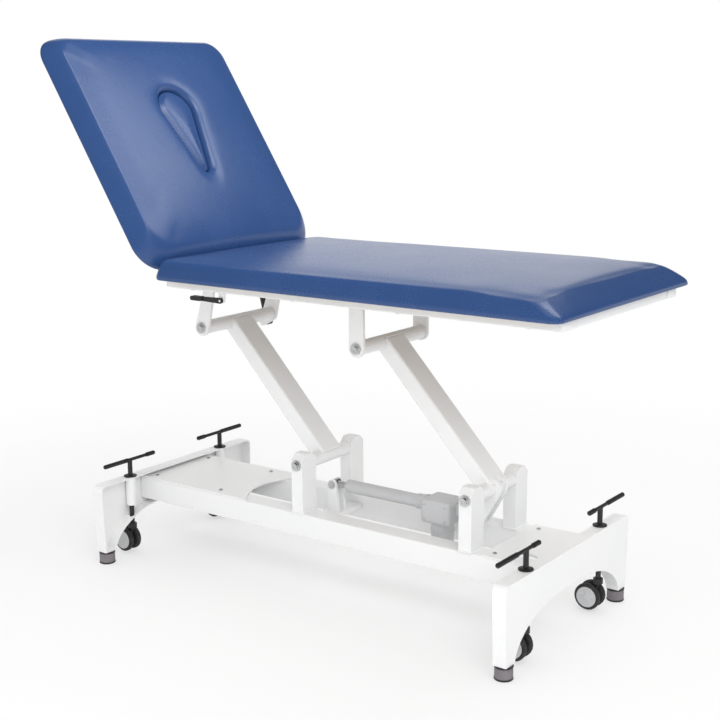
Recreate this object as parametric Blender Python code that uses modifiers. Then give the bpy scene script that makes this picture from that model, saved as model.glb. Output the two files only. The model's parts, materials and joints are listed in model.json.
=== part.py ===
"""Electric treatment couch: a two-section padded couch on a parallelogram lift.

Axes: +X runs from the head end to the foot end, +Y to the left of a person lying on the couch, +Z up.
Every length is in metres. The couch stands at rest with the seat raised and the backrest up.
"""
import math

import bmesh
import bpy
import numpy as np

# Clearances
FIT = 0.0003
TURN = 0.0003
PLAY = 0.0005
SOFT = 0.001

# Seat and backrest upholstery
PAD_W = 0.71
PAD_EDGE = 0.053
PAD_CROWN = 0.066
PAD_SIDE_IN = 0.025
SEAT_L = 1.197
SEAT_FOOT_IN = 0.060
SEAT_FOOT_SLOPE = 0.85
SEAT_HEAD_IN = 0.006
SEAT_CORNER = 0.026
BACK_L = 0.722
BACK_SIDE_IN = 0.031
BACK_LOW_IN = 0.055
BACK_TOP_IN = 0.030
BACK_CORNER = 0.068
BACK_LOW_CORNER = 0.080
PAD_GAP = 0.025
BOARD_T = 0.015
BOARD_MARGIN = 0.014
BOARD_FOOT_MARGIN = 0.034
BOARD_CORNER = 0.05

# Breathing hole, measured up the backrest from its hinge axis
HOLE_WIDE_AT = 0.478
HOLE_WIDE_R = 0.072
HOLE_NARROW_AT = 0.292
HOLE_NARROW_R = 0.028
PLUG_H = 0.056
PLUG_EDGE = 0.012

# Backrest hinge, gas spring and release lever
BACK_REST = math.radians(57.2)
BACK_HINGE_UP = 0.006
HINGE_LUG_R = 0.009
HINGE_LUG_T = 0.008
HINGE_LUG_IN = 0.080
HINGE_PIN_R = 0.004
HINGE_HEAD_R = 0.007
HINGE_HEAD_T = 0.003
BACK_TUBE_W = 0.030
BACK_TUBE_L = 0.57
BACK_TUBE_FROM = 0.036
SPRING_R = 0.20
SPRING_BASE_DIR = math.radians(260.0)
SPRING_TOP_DIR = math.radians(186.0)
SPRING_Y = 0.171
SPRING_TUBE_R = 0.011
SPRING_TUBE_L = 0.205
SPRING_ROD_R = 0.005
SPRING_ROD_L = 0.200
SPRING_BORE_FROM = 0.035
SPRING_EYE_R = 0.0105
SPRING_EYE_W = 0.018
SPRING_STUD_R = 0.005
LEVER_X = 0.181
LEVER_DROP = 0.048
LEVER_L = 0.096
LEVER_IN = 0.012
LEVER_T = 0.006
LEVER_PIVOT_R = 0.003
LEVER_EYE_R = 0.0075
LEVER_BAR_R = 0.0045
LEVER_GRIP_R = 0.006
LEVER_GRIP_L = 0.030
LEVER_GRIP_T = 0.014

# Top frame
TUBE_H = 0.025
TUBE_WALL = 0.0025
DRAIN_R = 0.004
TOP_RAIL_W = 0.050
TOP_RAIL_IN = 0.055
TOP_RAIL_FROM = 0.002
TOP_RAIL_END_IN = 0.015
CROSS_W = 0.040
CROSS_MID_W = 0.050
PLATE_T = 0.008
PLATE_Y = 0.147
PLATE_R = 0.0235
HANGER_ROOT_R = 0.008

# Parallelogram lift
LIFT_REST = math.radians(47.0)
ARM_L = 0.475
ARM_W = 0.080
ARM_D = 0.046
ARM_WALL = 0.004
ARM_TUBE_R = 0.019
PIVOT_R = 0.010
PIVOT_HEAD_R = 0.015
PIVOT_HEAD_T = 0.005
PIVOT_Z = 0.355
FOOT_POST_X = 0.825
PIVOT_SPACING = 0.535
TOP_PIVOT_X = 0.518
HANG = 0.1606

# Chassis
RAIL_OUT = 0.140
RAIL_W = 0.060
RAIL_TOP = 0.220
RAIL_H = 0.065
RAIL_WALL = 0.003
DECK_T = 0.004
HEAD_DECK_TO = 0.105
HEAD_DECK_ARC = 0.060
FOOT_DECK_FROM = 0.870
DECK_HOLE_X = 0.968
DECK_HOLE_Y = -0.098
DECK_HOLE_R = 0.036
POST_W = 0.037
POST_ABOVE = 0.030
POST_CHAMFER = 0.016

# End panels, feet and castors
END_FOOT_X = 1.050
END_HEAD_X = -0.320
END_DEPTH = 0.036
END_HALF = 0.325
END_LEG_HALF = 0.318
END_TOP = 0.237
END_WALL = 0.004
END_CORNER = 0.018
END_ARCH_HALF = 0.276
END_ARCH_H = 0.108
END_ARCH_WIDE = 2.6
END_ARCH_TALL = 1.7
LEG_Z = 0.036
FOOT_R = 0.0225
FOOT_TOP_R = 0.0205
FOOT_Y = 0.297
CORNER_IN = 0.021
CASTOR_Y = 0.195
STEM_TUBE_R = 0.014
STEM_TUBE_FROM = 0.150
BUSH_R = 0.0105
BUSH_FLANGE_R = 0.019
BUSH_FLANGE_T = 0.005
STEM_R = 0.007
STEM_BOTTOM = 0.084
PEDAL_Z = 0.287
PEDAL_R = 0.0048
PEDAL_HALF = 0.100
PEDAL_FOOT_OUT = 0.035
WHEEL_R = 0.036
WHEEL_LIFT = 0.006
WHEEL_W = 0.016
WHEEL_GAP = 0.014
WHEEL_ROUND = 0.004
AXLE_R = 0.004
TRAIL = 0.022
HUB_R = 0.013
HUB_H = 0.014
HUB_CLEAR = 0.001
HUB_WEB_R = 0.006

# Lift actuator
ACT_Z = 0.275
ACT_LEAN = math.radians(23.5)
ACT_TUBE_R = 0.018
ACT_TUBE_FROM = 0.360
ACT_HOUSING_FROM = 0.625
ACT_HOUSING_TO = 0.715
ACT_HOUSING_HALF = 0.042
ACT_HOUSING_UP = 0.024
ACT_HOUSING_DOWN = 0.042
ACT_MOTOR_R = 0.031
ACT_MOTOR_DROP = 0.070
ACT_ROD_R = 0.009
ACT_ROD_TO = 0.600
ACT_BASE_X = 0.315
ACT_EYE_R = 0.014
ACT_TONGUE_HALF = 0.010
ACT_TONGUE_R = 0.014
ACT_PIN_R = 0.007
HORN_T = 0.008
HORN_HUB_R = 0.030
HORN_TIP_R = 0.020
HORN_SLOT_PLAY = 0.0025
HORN_SLOT_FROM = 0.078
HORN_SLOT_TO = 0.0935
MOUNT_FROM = 0.292
MOUNT_TO = 0.348
MOUNT_T = 0.012
CLEVIS_T = 0.008
BOX_X = -0.110
BOX_SIZE = (0.150, 0.120, 0.044)
INLET_SIZE = (0.018, 0.028, 0.020)

# Detail of edges and circles
SEGMENTS = 22
SMALL_SEGMENTS = 16
EDGE = 0.003

# Places that follow from the sizes above
HEAD_POST_X = FOOT_POST_X - PIVOT_SPACING
TOP_PIVOT_HEAD_X = TOP_PIVOT_X - PIVOT_SPACING
SEAT_X = FOOT_POST_X - ARM_L * math.cos(LIFT_REST) - TOP_PIVOT_X
SEAT_Z = PIVOT_Z + ARM_L * math.sin(LIFT_REST) + HANG
BACK_HINGE_X = -PAD_GAP / 2
BACK_PAD_FROM = PAD_GAP / 2
PLATE_HALF = PLATE_T / 2
TOP_RAIL_OUT = PAD_W / 2 - TOP_RAIL_IN
TOP_RAIL_TO = SEAT_L - TOP_RAIL_END_IN
HINGE_LUG_Y = TOP_RAIL_OUT - HINGE_LUG_IN
LEVER_Y = LEVER_IN - TOP_RAIL_OUT
DECK_Z = RAIL_TOP + FIT + DECK_T / 2
POST_Y = RAIL_OUT - RAIL_W / 2
T_BAR_HALF = PLATE_Y - PLATE_HALF - PLAY
CASTOR_FOOT_X = END_FOOT_X - CORNER_IN
CASTOR_HEAD_X = END_HEAD_X + CORNER_IN
AXLE_Z = WHEEL_R + WHEEL_LIFT
ACT_ARM = PIVOT_Z - ACT_Z
ACT_PIN_X = FOOT_POST_X - ACT_ARM * math.tan(ACT_LEAN)
BACK_END = BACK_PAD_FROM + BACK_L
BACK_REACH = BACK_END * math.cos(BACK_REST) + BACK_HINGE_UP * math.sin(BACK_REST)
LOW_X = SEAT_X + BACK_HINGE_X - BACK_REACH
MIDDLE_X = (SEAT_X + SEAT_L + LOW_X) / 2

ALONG_Y = (math.pi / 2, 0.0, 0.0)
ALONG_X = (0.0, math.pi / 2, 0.0)
ACROSS = (math.pi / 2, 0.0, math.pi / 2)

for old in list(bpy.data.objects):
    bpy.data.objects.remove(old)

PARTS = bpy.data.collections.new("electric_treatment_couch")
TOOLS = bpy.data.collections.new("cutters")
bpy.context.scene.collection.children.link(PARTS)
bpy.context.scene.collection.children.link(TOOLS)


def material(name, color, roughness, metallic=0.0):
    """Make one Principled material."""
    mat = bpy.data.materials.new(name)
    mat.use_nodes = True
    shader = mat.node_tree.nodes["Principled BSDF"]
    shader.inputs["Base Color"].default_value = (*color, 1.0)
    shader.inputs["Roughness"].default_value = roughness
    shader.inputs["Metallic"].default_value = metallic
    mat.diffuse_color = (*color, 1.0)
    return mat


VINYL = material("blue_vinyl", (0.062, 0.125, 0.330), 0.42)
WHITE = material("white_powder_coat", (0.82, 0.82, 0.81), 0.38)
BOARD = material("base_board", (0.24, 0.19, 0.14), 0.7)
RUBBER = material("grey_rubber", (0.22, 0.20, 0.21), 0.75)
BLACK = material("black_plastic", (0.018, 0.018, 0.020), 0.45)
TYRE = material("castor_tyre", (0.025, 0.025, 0.028), 0.6)
STEEL = material("bright_steel", (0.62, 0.62, 0.62), 0.28, 1.0)
CASING = material("actuator_casing", (0.34, 0.34, 0.35), 0.5)


def empty(name, location, parent=None, turn=0.0):
    """Place an empty that other pieces hang on, turned about Y."""
    obj = bpy.data.objects.new(name, None)
    obj.empty_display_size = 0.05
    PARTS.objects.link(obj)
    obj.parent = parent
    obj.location = location
    obj.rotation_euler = (0.0, turn, 0.0)
    return obj


def solid(name, mesh, mat, parent, location=(0.0, 0.0, 0.0), rotation=(0.0, 0.0, 0.0)):
    """Add one named piece of the couch."""
    obj = bpy.data.objects.new(name, mesh)
    PARTS.objects.link(obj)
    mesh.materials.clear()
    mesh.materials.append(mat)
    obj.parent = parent
    obj.location = location
    obj.rotation_euler = rotation
    return obj


def combine(obj, operation, mesh, parent, location=(0.0, 0.0, 0.0), rotation=(0.0, 0.0, 0.0)):
    """Join a shape to a piece or cut it out of the piece."""
    tool = bpy.data.objects.new(obj.name + "_" + operation.lower(), mesh)
    TOOLS.objects.link(tool)
    tool.parent = parent
    tool.location = location
    tool.rotation_euler = rotation
    tool.display_type = "WIRE"
    tool.hide_render = True
    modifier = obj.modifiers.new(operation.title(), "BOOLEAN")
    modifier.operation = operation
    modifier.solver = "EXACT"
    modifier.object = tool


def hollow(obj, size, parent, location, wall, through=0.0):
    """Empty a box tube, open at both ends or with a drain hole below when its ends are closed."""
    inner = (size[0] - 2 * wall + through, size[1] - 2 * wall, size[2] - 2 * wall)
    combine(obj, "DIFFERENCE", box("inside", inner), parent, location)
    if through == 0.0:
        drain = cylinder("drain", DRAIN_R, size[2], SMALL_SEGMENTS)
        combine(obj, "DIFFERENCE", drain, parent, (location[0], location[1], location[2] - size[2] / 2))


def bevel(obj, width, segments=2):
    """Round the edges of a piece."""
    modifier = obj.modifiers.new("Rounded edges", "BEVEL")
    modifier.width = width
    modifier.segments = segments
    modifier.limit_method = "ANGLE"
    modifier.angle_limit = math.radians(40.0)
    return obj


def finish_mesh(bm, name, smooth):
    """Turn a bmesh into a mesh, smooth where the surface is round."""
    mesh = bpy.data.meshes.new(name)
    bm.to_mesh(mesh)
    bm.free()
    if smooth:
        mesh.shade_smooth()
        mesh.set_sharp_from_angle(angle=math.radians(40.0))
    return mesh


def box(name, size):
    """A box about its middle."""
    bm = bmesh.new()
    bmesh.ops.create_cube(bm, size=1.0)
    bmesh.ops.scale(bm, vec=size, verts=bm.verts)
    return finish_mesh(bm, name, False)


def cylinder(name, radius, length, segments=SEGMENTS):
    """A cylinder about its middle, along Z."""
    bm = bmesh.new()
    bmesh.ops.create_cone(bm, cap_ends=True, segments=segments, radius1=radius, radius2=radius, depth=length)
    return finish_mesh(bm, name, True)


def circle(x, y, radius, count=SEGMENTS):
    """Points round a circle."""
    turn = np.arange(count) * 2 * np.pi / count
    return np.stack([x + radius * np.cos(turn), y + radius * np.sin(turn)], axis=1)


def hull(circles, count=SEGMENTS):
    """Outline stretched round a few circles, each given as x, y and radius."""
    points = np.concatenate([circle(x, y, radius, count) for x, y, radius in circles])
    points = sorted(set(map(tuple, np.round(points, 7))))
    halves = []
    for run in (points, points[::-1]):
        chain = []
        for point in run:
            while len(chain) > 1:
                (ax, ay), (bx, by) = chain[-2], chain[-1]
                if (bx - ax) * (point[1] - ay) - (by - ay) * (point[0] - ax) > 1e-12:
                    break
                chain.pop()
            chain.append(point)
        halves.append(chain[:-1])
    return np.array(halves[0] + halves[1])


def rounded(x0, x1, y0, y1, radius, count=7, radius_x1=None):
    """Rectangle with round corners, which may have another radius at its high X end."""
    loop = []
    turns = np.linspace(0, np.pi / 2, count)
    high = radius if radius_x1 is None else radius_x1
    corners = ((x1, y1, 0.0, high), (x0, y1, 0.5, radius), (x0, y0, 1.0, radius), (x1, y0, 1.5, high))
    for x, y, start, r in corners:
        cx = x - math.copysign(r, x - (x0 + x1) / 2)
        cy = y - math.copysign(r, y - (y0 + y1) / 2)
        turn = turns + start * np.pi
        loop.append(np.stack([cx + r * np.cos(turn), cy + r * np.sin(turn)], axis=1))
    return np.concatenate(loop)


def plate(name, loops, thickness):
    """Flat outlines filled and thickened about their own plane."""
    curve = bpy.data.curves.new(name, "CURVE")
    curve.dimensions = "2D"
    curve.fill_mode = "BOTH"
    curve.extrude = thickness / 2
    for loop in loops:
        spline = curve.splines.new("POLY")
        spline.points.add(len(loop) - 1)
        for point, (x, y) in zip(spline.points, loop):
            point.co = (x, y, 0.0, 1.0)
        spline.use_cyclic_u = True
    obj = bpy.data.objects.new(name, curve)
    TOOLS.objects.link(obj)
    view = bpy.context.evaluated_depsgraph_get()
    made = bpy.data.meshes.new_from_object(obj.evaluated_get(view))
    bpy.data.objects.remove(obj)
    bm = bmesh.new()
    bm.from_mesh(made)
    bpy.data.meshes.remove(made)
    bmesh.ops.remove_doubles(bm, verts=bm.verts, dist=1e-6)
    bmesh.ops.recalc_face_normals(bm, faces=bm.faces)
    return finish_mesh(bm, name, True)


def turned(obj, steps=SEGMENTS):
    """Spin the outline of a piece about its own Z axis."""
    modifier = obj.modifiers.new("Turned", "SCREW")
    modifier.axis = "Z"
    modifier.angle = 2 * math.pi
    modifier.screw_offset = 0.0
    modifier.steps = steps
    modifier.render_steps = steps
    modifier.use_merge_vertices = True
    modifier.merge_threshold = 0.00005
    modifier.use_smooth_shade = True
    return obj


def profile(name, points):
    """Outline for a turned piece, from the top down its outer side."""
    bm = bmesh.new()
    corners = [bm.verts.new((x, 0.0, z)) for x, z in points]
    for first, second in zip(corners, corners[1:]):
        bm.edges.new((first, second))
    return finish_mesh(bm, name, False)


def ring_profile(name, points):
    """Closed outline for a turned ring that has a bore."""
    return profile(name, points + points[:1])


def loft(name, rings):
    """Skin over a stack of outlines with equal numbers of points, closed at both ends."""
    bm = bmesh.new()
    rows = [[bm.verts.new(point) for point in ring] for ring in rings]
    count = len(rows[0])
    for low, high in zip(rows, rows[1:]):
        for i in range(count):
            j = (i + 1) % count
            bm.faces.new((low[i], low[j], high[j], high[i]))
    bm.faces.new(rows[0][::-1])
    bm.faces.new(rows[-1])
    return finish_mesh(bm, name, True)


def at_height(loop, z):
    """Lift a flat outline to one height."""
    return [(x, y, z) for x, y in loop]


def pin(name, half, parent, location, radius, head_r, head_t, mat):
    """A pin along Y with a round head at each end."""
    tip = half + head_t
    points = [(0.0, tip), (head_r, tip), (head_r, half), (radius, half)]
    points += [(x, -z) for x, z in points[::-1]]
    return turned(solid(name, profile(name, points), mat, parent, location, ALONG_Y), SMALL_SEGMENTS)


def cushion_profile():
    """Steps up the side of a cushion: height, share of the edge's draw and extra draw on the top."""
    rise = PAD_CROWN - PAD_EDGE
    return [
        (0.0, 0.0, 0.0),
        (0.10 * PAD_EDGE, 0.02, 0.0),
        (0.34 * PAD_EDGE, 0.14, 0.0),
        (0.62 * PAD_EDGE, 0.36, 0.0),
        (0.84 * PAD_EDGE, 0.66, 0.0),
        (PAD_EDGE, 1.0, 0.0),
        (PAD_EDGE + 0.30 * rise, 1.0, 0.026),
        (PAD_EDGE + 0.62 * rise, 1.0, 0.078),
        (PAD_EDGE + 0.88 * rise, 1.0, 0.160),
        (PAD_CROWN, 1.0, 0.270),
    ]


def cushion(name, x0, x1, draw_x0, draw_x1, side_in, corner, corner_x1, slope_x1):
    """A cushion with drawn-in sides and a crowned top, flat below. Its high X end can be a straight slope."""
    rings = []
    for z, share, extra in cushion_profile():
        straight = min(z / PAD_EDGE, 1.0)
        low = x0 + share * draw_x0 + extra
        high = x1 - (slope_x1 * straight + (1 - slope_x1) * share) * draw_x1 - extra
        side = PAD_W / 2 - share * side_in - extra
        room = 0.9 * min(side, (high - low) / 2)
        radius = min(corner * (1 - 0.25 * share), room)
        radius_x1 = min(corner_x1 * (1 + 0.25 * share), room)
        rings.append(at_height(rounded(low, high, -side, side, radius, 9, radius_x1), z))
    return loft(name, rings)


# Root and joint axes
couch = empty("couch", (-MIDDLE_X, 0.0, 0.0))
foot_axis = empty("lift_foot_axis", (FOOT_POST_X, 0.0, PIVOT_Z), couch, LIFT_REST)
head_axis = empty("lift_head_axis", (HEAD_POST_X, 0.0, PIVOT_Z), couch, LIFT_REST)
seat = empty("seat_frame_origin", (SEAT_X, 0.0, SEAT_Z), couch)
back = empty("backrest_axis", (BACK_HINGE_X, 0.0, BACK_HINGE_UP), seat, BACK_REST)

# Chassis rails, decks and posts
RAIL_TO = END_FOOT_X - END_WALL - FIT
RAIL_FROM = END_HEAD_X + END_WALL + FIT
for side, label in ((-1, "right"), (1, "left")):
    size = (RAIL_TO - RAIL_FROM, RAIL_W, RAIL_H)
    place = ((RAIL_TO + RAIL_FROM) / 2, side * POST_Y, RAIL_TOP - RAIL_H / 2)
    rail = bevel(solid("chassis_rail_" + label, box("rail", size), WHITE, couch, place), EDGE)
    hollow(rail, size, couch, place, RAIL_WALL, 4 * RAIL_WALL)

bow = np.linspace(-1.0, 1.0, 25)
inner_edge = np.stack([HEAD_DECK_TO - HEAD_DECK_ARC * (1 - bow ** 2), bow * RAIL_OUT], axis=1)
head_outline = np.concatenate([inner_edge, [(RAIL_FROM, RAIL_OUT), (RAIL_FROM, -RAIL_OUT)]])
solid("head_deck", plate("head_deck", [head_outline], DECK_T), WHITE, couch, (0.0, 0.0, DECK_Z))

foot_outline = rounded(FOOT_DECK_FROM, RAIL_TO, -RAIL_OUT, RAIL_OUT, EDGE, 3)
foot_hole = circle(DECK_HOLE_X, DECK_HOLE_Y, DECK_HOLE_R)
foot_mesh = plate("foot_deck", [foot_outline, foot_hole], DECK_T)
solid("foot_deck", foot_mesh, WHITE, couch, (0.0, 0.0, DECK_Z))

POST_FROM = RAIL_TOP + FIT
POST_TO = PIVOT_Z + POST_ABOVE
half = RAIL_W / 2
post_outline = [(-half, POST_FROM), (half, POST_FROM), (half, POST_TO - POST_CHAMFER),
                (half - POST_CHAMFER, POST_TO), (-half + POST_CHAMFER, POST_TO),
                (-half, POST_TO - POST_CHAMFER)]
for x, end in ((HEAD_POST_X, "head"), (FOOT_POST_X, "foot")):
    for side, label in ((-1, "right"), (1, "left")):
        name = "lift_post_" + end + "_" + label
        post = solid(name, plate(name, [post_outline], POST_W), WHITE, couch, (x, side * POST_Y, 0.0), ACROSS)
        bore = cylinder("post_bore", PIVOT_R + TURN, RAIL_W * 2)
        combine(post, "DIFFERENCE", bore, couch, (x, side * POST_Y, PIVOT_Z), ALONG_Y)
    pin("lift_shaft_" + end, RAIL_OUT + FIT, couch, (x, 0.0, PIVOT_Z),
        PIVOT_R, PIVOT_HEAD_R, PIVOT_HEAD_T, STEEL)


def arch(inset):
    """One half of the arch under an end panel, from its crown to the leg's foot."""
    turn = np.linspace(np.pi / 2, 0.0, 18)
    y = END_ARCH_HALF * np.cos(turn).clip(0.0) ** (2 / END_ARCH_WIDE)
    z = LEG_Z + END_ARCH_H * np.sin(turn).clip(0.0) ** (2 / END_ARCH_TALL)
    step = np.stack([np.gradient(y), np.gradient(z)], axis=1)
    step[0] = (1.0, 0.0)
    step[-1] = (0.0, -1.0)
    step /= np.linalg.norm(step, axis=1)[:, None]
    y = y - inset * step[:, 1]
    z = z + inset * step[:, 0]
    keep = z > LEG_Z + inset + 0.002
    low = (END_ARCH_HALF + inset, LEG_Z + inset)
    return np.concatenate([np.stack([y, z], axis=1)[keep], [low]])


def end_outline(inset):
    """Outline of an end panel with its arch, drawn in by a wall's thickness for the hollow."""
    top = END_TOP - inset
    wide = END_HALF - inset
    turn = np.linspace(0.0, np.pi / 2, 5)
    radius = END_CORNER - inset
    corner = np.stack([wide - radius + radius * np.cos(turn), top - radius + radius * np.sin(turn)], axis=1)
    right = np.concatenate([arch(inset), [(END_LEG_HALF - inset, LEG_Z + inset)], corner])
    left = right[:0:-1] * (-1.0, 1.0)
    return np.concatenate([right, left])


# End panels, rubber feet, castors and pedals
for end, outer, inward in (("head", END_HEAD_X, 1), ("foot", END_FOOT_X, -1)):
    corner_x = outer + inward * CORNER_IN
    middle = outer + inward * END_DEPTH / 2
    panel = plate("end_panel", [end_outline(0.0)], END_DEPTH)
    panel = solid("end_panel_" + end, panel, WHITE, couch, (middle, 0.0, 0.0), ACROSS)
    inside = plate("end_inside", [end_outline(END_WALL)], END_DEPTH)
    combine(panel, "DIFFERENCE", inside, couch, (middle + inward * END_WALL, 0.0, 0.0), ACROSS)
    for side, label in ((-1, "right"), (1, "left")):
        tag = end + "_" + label
        spot = (corner_x, side * CASTOR_Y, 0.0)
        tube_to = END_TOP - END_WALL / 2
        tube = cylinder("stem_tube", STEM_TUBE_R, tube_to - STEM_TUBE_FROM)
        combine(panel, "UNION", tube, couch, (spot[0], spot[1], (tube_to + STEM_TUBE_FROM) / 2))
        bore = cylinder("stem_bore", BUSH_R + FIT, END_TOP)
        combine(panel, "DIFFERENCE", bore, couch, (spot[0], spot[1], END_TOP / 2 + LEG_Z))

        foot_points = [(0.0, LEG_Z - FIT), (FOOT_TOP_R, LEG_Z - FIT), (FOOT_TOP_R + 0.002, LEG_Z * 0.75),
                       (FOOT_R, LEG_Z * 0.35), (FOOT_R, 0.003), (FOOT_R - 0.003, 0.0), (0.0, 0.0)]
        name = "rubber_foot_" + tag
        rubber = solid(name, profile(name, foot_points), RUBBER, couch, (middle, side * FOOT_Y, 0.0))
        turned(rubber, SMALL_SEGMENTS)

        flange = END_TOP + FIT
        bush_in = STEM_R + TURN
        bush_points = [(bush_in, flange + BUSH_FLANGE_T), (BUSH_R + 0.003, flange + BUSH_FLANGE_T),
                       (BUSH_FLANGE_R, flange + 0.003), (BUSH_FLANGE_R, flange), (BUSH_R, flange),
                       (BUSH_R, STEM_TUBE_FROM), (bush_in, STEM_TUBE_FROM)]
        name = "castor_bush_" + tag
        turned(solid(name, ring_profile(name, bush_points), BLACK, couch, spot), SMALL_SEGMENTS)

        name = "castor_pedal_" + tag
        bar = cylinder(name, PEDAL_R, 2 * PEDAL_HALF, SMALL_SEGMENTS)
        bar_y = side * (CASTOR_Y + (PEDAL_FOOT_OUT if end == "foot" else 0.0))
        pedal = solid(name, bar, BLACK, couch, (spot[0], bar_y, PEDAL_Z), ALONG_Y)
        bevel(pedal, 0.002, 1)
        stem = cylinder("pedal_stem", STEM_R, PEDAL_Z - STEM_BOTTOM, SMALL_SEGMENTS)
        combine(pedal, "UNION", stem, couch, (spot[0], spot[1], (PEDAL_Z + STEM_BOTTOM) / 2))

        fork_axis = empty("castor_swivel_" + tag, (spot[0], spot[1], AXLE_Z), couch)
        hub_from = WHEEL_R + HUB_CLEAR
        name = "castor_fork_" + tag
        web = [(0.0, hub_from + HUB_WEB_R, HUB_WEB_R), (-TRAIL, 0.0, HUB_WEB_R * 1.8)]
        web_mesh = plate(name, [hull(web, SMALL_SEGMENTS)], WHEEL_GAP - 2 * FIT)
        fork = solid(name, web_mesh, BLACK, fork_axis, (0.0, 0.0, 0.0), ALONG_Y)
        hub = cylinder("fork_hub", HUB_R, HUB_H, SMALL_SEGMENTS)
        combine(fork, "UNION", hub, fork_axis, (0.0, 0.0, hub_from + HUB_H / 2))
        socket = cylinder("fork_socket", STEM_R + TURN, HUB_H, SMALL_SEGMENTS)
        socket_z = STEM_BOTTOM - AXLE_Z - PLAY + HUB_H / 2
        combine(fork, "DIFFERENCE", socket, fork_axis, (0.0, 0.0, socket_z))
        axle_bore = cylinder("axle_bore", AXLE_R + TURN, 2 * WHEEL_GAP, SMALL_SEGMENTS)
        combine(fork, "DIFFERENCE", axle_bore, fork_axis, (-TRAIL, 0.0, 0.0), ALONG_Y)

        outer_w = WHEEL_GAP / 2 + WHEEL_W
        inner_w = WHEEL_GAP / 2
        wheel_points = [(0.0, outer_w), (WHEEL_R * 0.55, outer_w), (WHEEL_R - WHEEL_ROUND, outer_w - 0.001),
                        (WHEEL_R, outer_w - WHEEL_ROUND), (WHEEL_R, inner_w + WHEEL_ROUND),
                        (WHEEL_R - WHEEL_ROUND, inner_w), (AXLE_R, inner_w)]
        wheel_points += [(x, -z) for x, z in wheel_points[::-1]]
        name = "castor_wheels_" + tag
        wheels = solid(name, profile(name, wheel_points), TYRE, fork_axis, (-TRAIL, 0.0, 0.0), ALONG_Y)
        turned(wheels)

# Lift arms
HORN_TURN = LIFT_REST - ACT_LEAN
horn_x = math.sin(HORN_TURN)
horn_z = -math.cos(HORN_TURN)
for end, axis in (("head", head_axis), ("foot", foot_axis)):
    name = "lift_arm_" + end
    size = (ARM_L, ARM_W, ARM_D)
    arm = bevel(solid(name, box(name, size), WHITE, axis, (-ARM_L / 2, 0.0, 0.0)), EDGE * 2)
    low_half = RAIL_OUT - RAIL_W - PLAY
    combine(arm, "UNION", cylinder("low_tube", ARM_TUBE_R, 2 * low_half), axis, (0.0, 0.0, 0.0), ALONG_Y)
    combine(arm, "UNION", cylinder("t_bar", ARM_TUBE_R, 2 * T_BAR_HALF), axis, (-ARM_L, 0.0, 0.0), ALONG_Y)
    if end == "foot":
        tip = (horn_x * HORN_SLOT_TO, horn_z * HORN_SLOT_TO, HORN_TIP_R)
        slot_r = ACT_PIN_R + HORN_SLOT_PLAY
        slot = hull([(horn_x * reach, horn_z * reach, slot_r) for reach in (HORN_SLOT_FROM, HORN_SLOT_TO)])
        for side in (-1, 1):
            horn = plate("horn", [hull([(0.0, 0.0, HORN_HUB_R), tip]), slot], HORN_T)
            place = (0.0, side * (ACT_TONGUE_HALF + 0.0015 + HORN_T / 2), 0.0)
            combine(arm, "UNION", horn, axis, place, ALONG_Y)
    size = (ARM_L - 2 * ARM_TUBE_R, ARM_W, ARM_D)
    hollow(arm, size, axis, (-ARM_L / 2, 0.0, 0.0), ARM_WALL)
    for x, reach in ((0.0, low_half), (-ARM_L, T_BAR_HALF)):
        bore = cylinder("arm_bore", PIVOT_R + TURN, 2 * reach + 0.02)
        combine(arm, "DIFFERENCE", bore, axis, (x, 0.0, 0.0), ALONG_Y)

# Lift actuator: the casing slides on a fixed rod and its pin works in the slotted horn
casing_x = (ACT_HOUSING_FROM + ACT_HOUSING_TO) / 2
casing_l = ACT_HOUSING_TO - ACT_HOUSING_FROM
casing_h = ACT_HOUSING_UP + ACT_HOUSING_DOWN
casing_z = ACT_Z + (ACT_HOUSING_UP - ACT_HOUSING_DOWN) / 2
casing_size = (casing_l, 2 * ACT_HOUSING_HALF, casing_h)
casing = solid("actuator_housing", box("casing", casing_size), CASING, couch, (casing_x, 0.0, casing_z))
bevel(casing, 0.010, 3)
motor = cylinder("motor", ACT_MOTOR_R, ACT_MOTOR_DROP + 0.02)
motor_z = ACT_Z - ACT_HOUSING_DOWN - ACT_MOTOR_DROP / 2 + 0.01
combine(casing, "UNION", motor, couch, (casing_x, 0.0, motor_z))
tongue_from = ACT_HOUSING_TO - 0.02
tongue = [(tongue_from, 0.0, ACT_TONGUE_R), (ACT_PIN_X, 0.0, ACT_TONGUE_R)]
tongue_hole = circle(ACT_PIN_X, 0.0, ACT_PIN_R + FIT)
tongue_mesh = plate("tongue", [hull(tongue), tongue_hole], 2 * ACT_TONGUE_HALF)
combine(casing, "UNION", tongue_mesh, couch, (0.0, 0.0, ACT_Z), ALONG_Y)

tube_to = ACT_HOUSING_FROM - FIT
bore_r = ACT_ROD_R + PLAY
tube_points = [(ACT_TUBE_R, 0.0), (ACT_TUBE_R, ACT_TUBE_FROM - tube_to), (bore_r, ACT_TUBE_FROM - tube_to),
               (bore_r, 0.0)]
tube_mesh = ring_profile("actuator_tube", tube_points)
turned(solid("actuator_tube", tube_mesh, CASING, couch, (tube_to, 0.0, ACT_Z), ALONG_X))
pin("actuator_pin", ACT_TONGUE_HALF + HORN_T + 0.003, couch, (ACT_PIN_X, 0.0, ACT_Z),
    ACT_PIN_R, ACT_PIN_R + 0.004, 0.003, STEEL)

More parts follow.
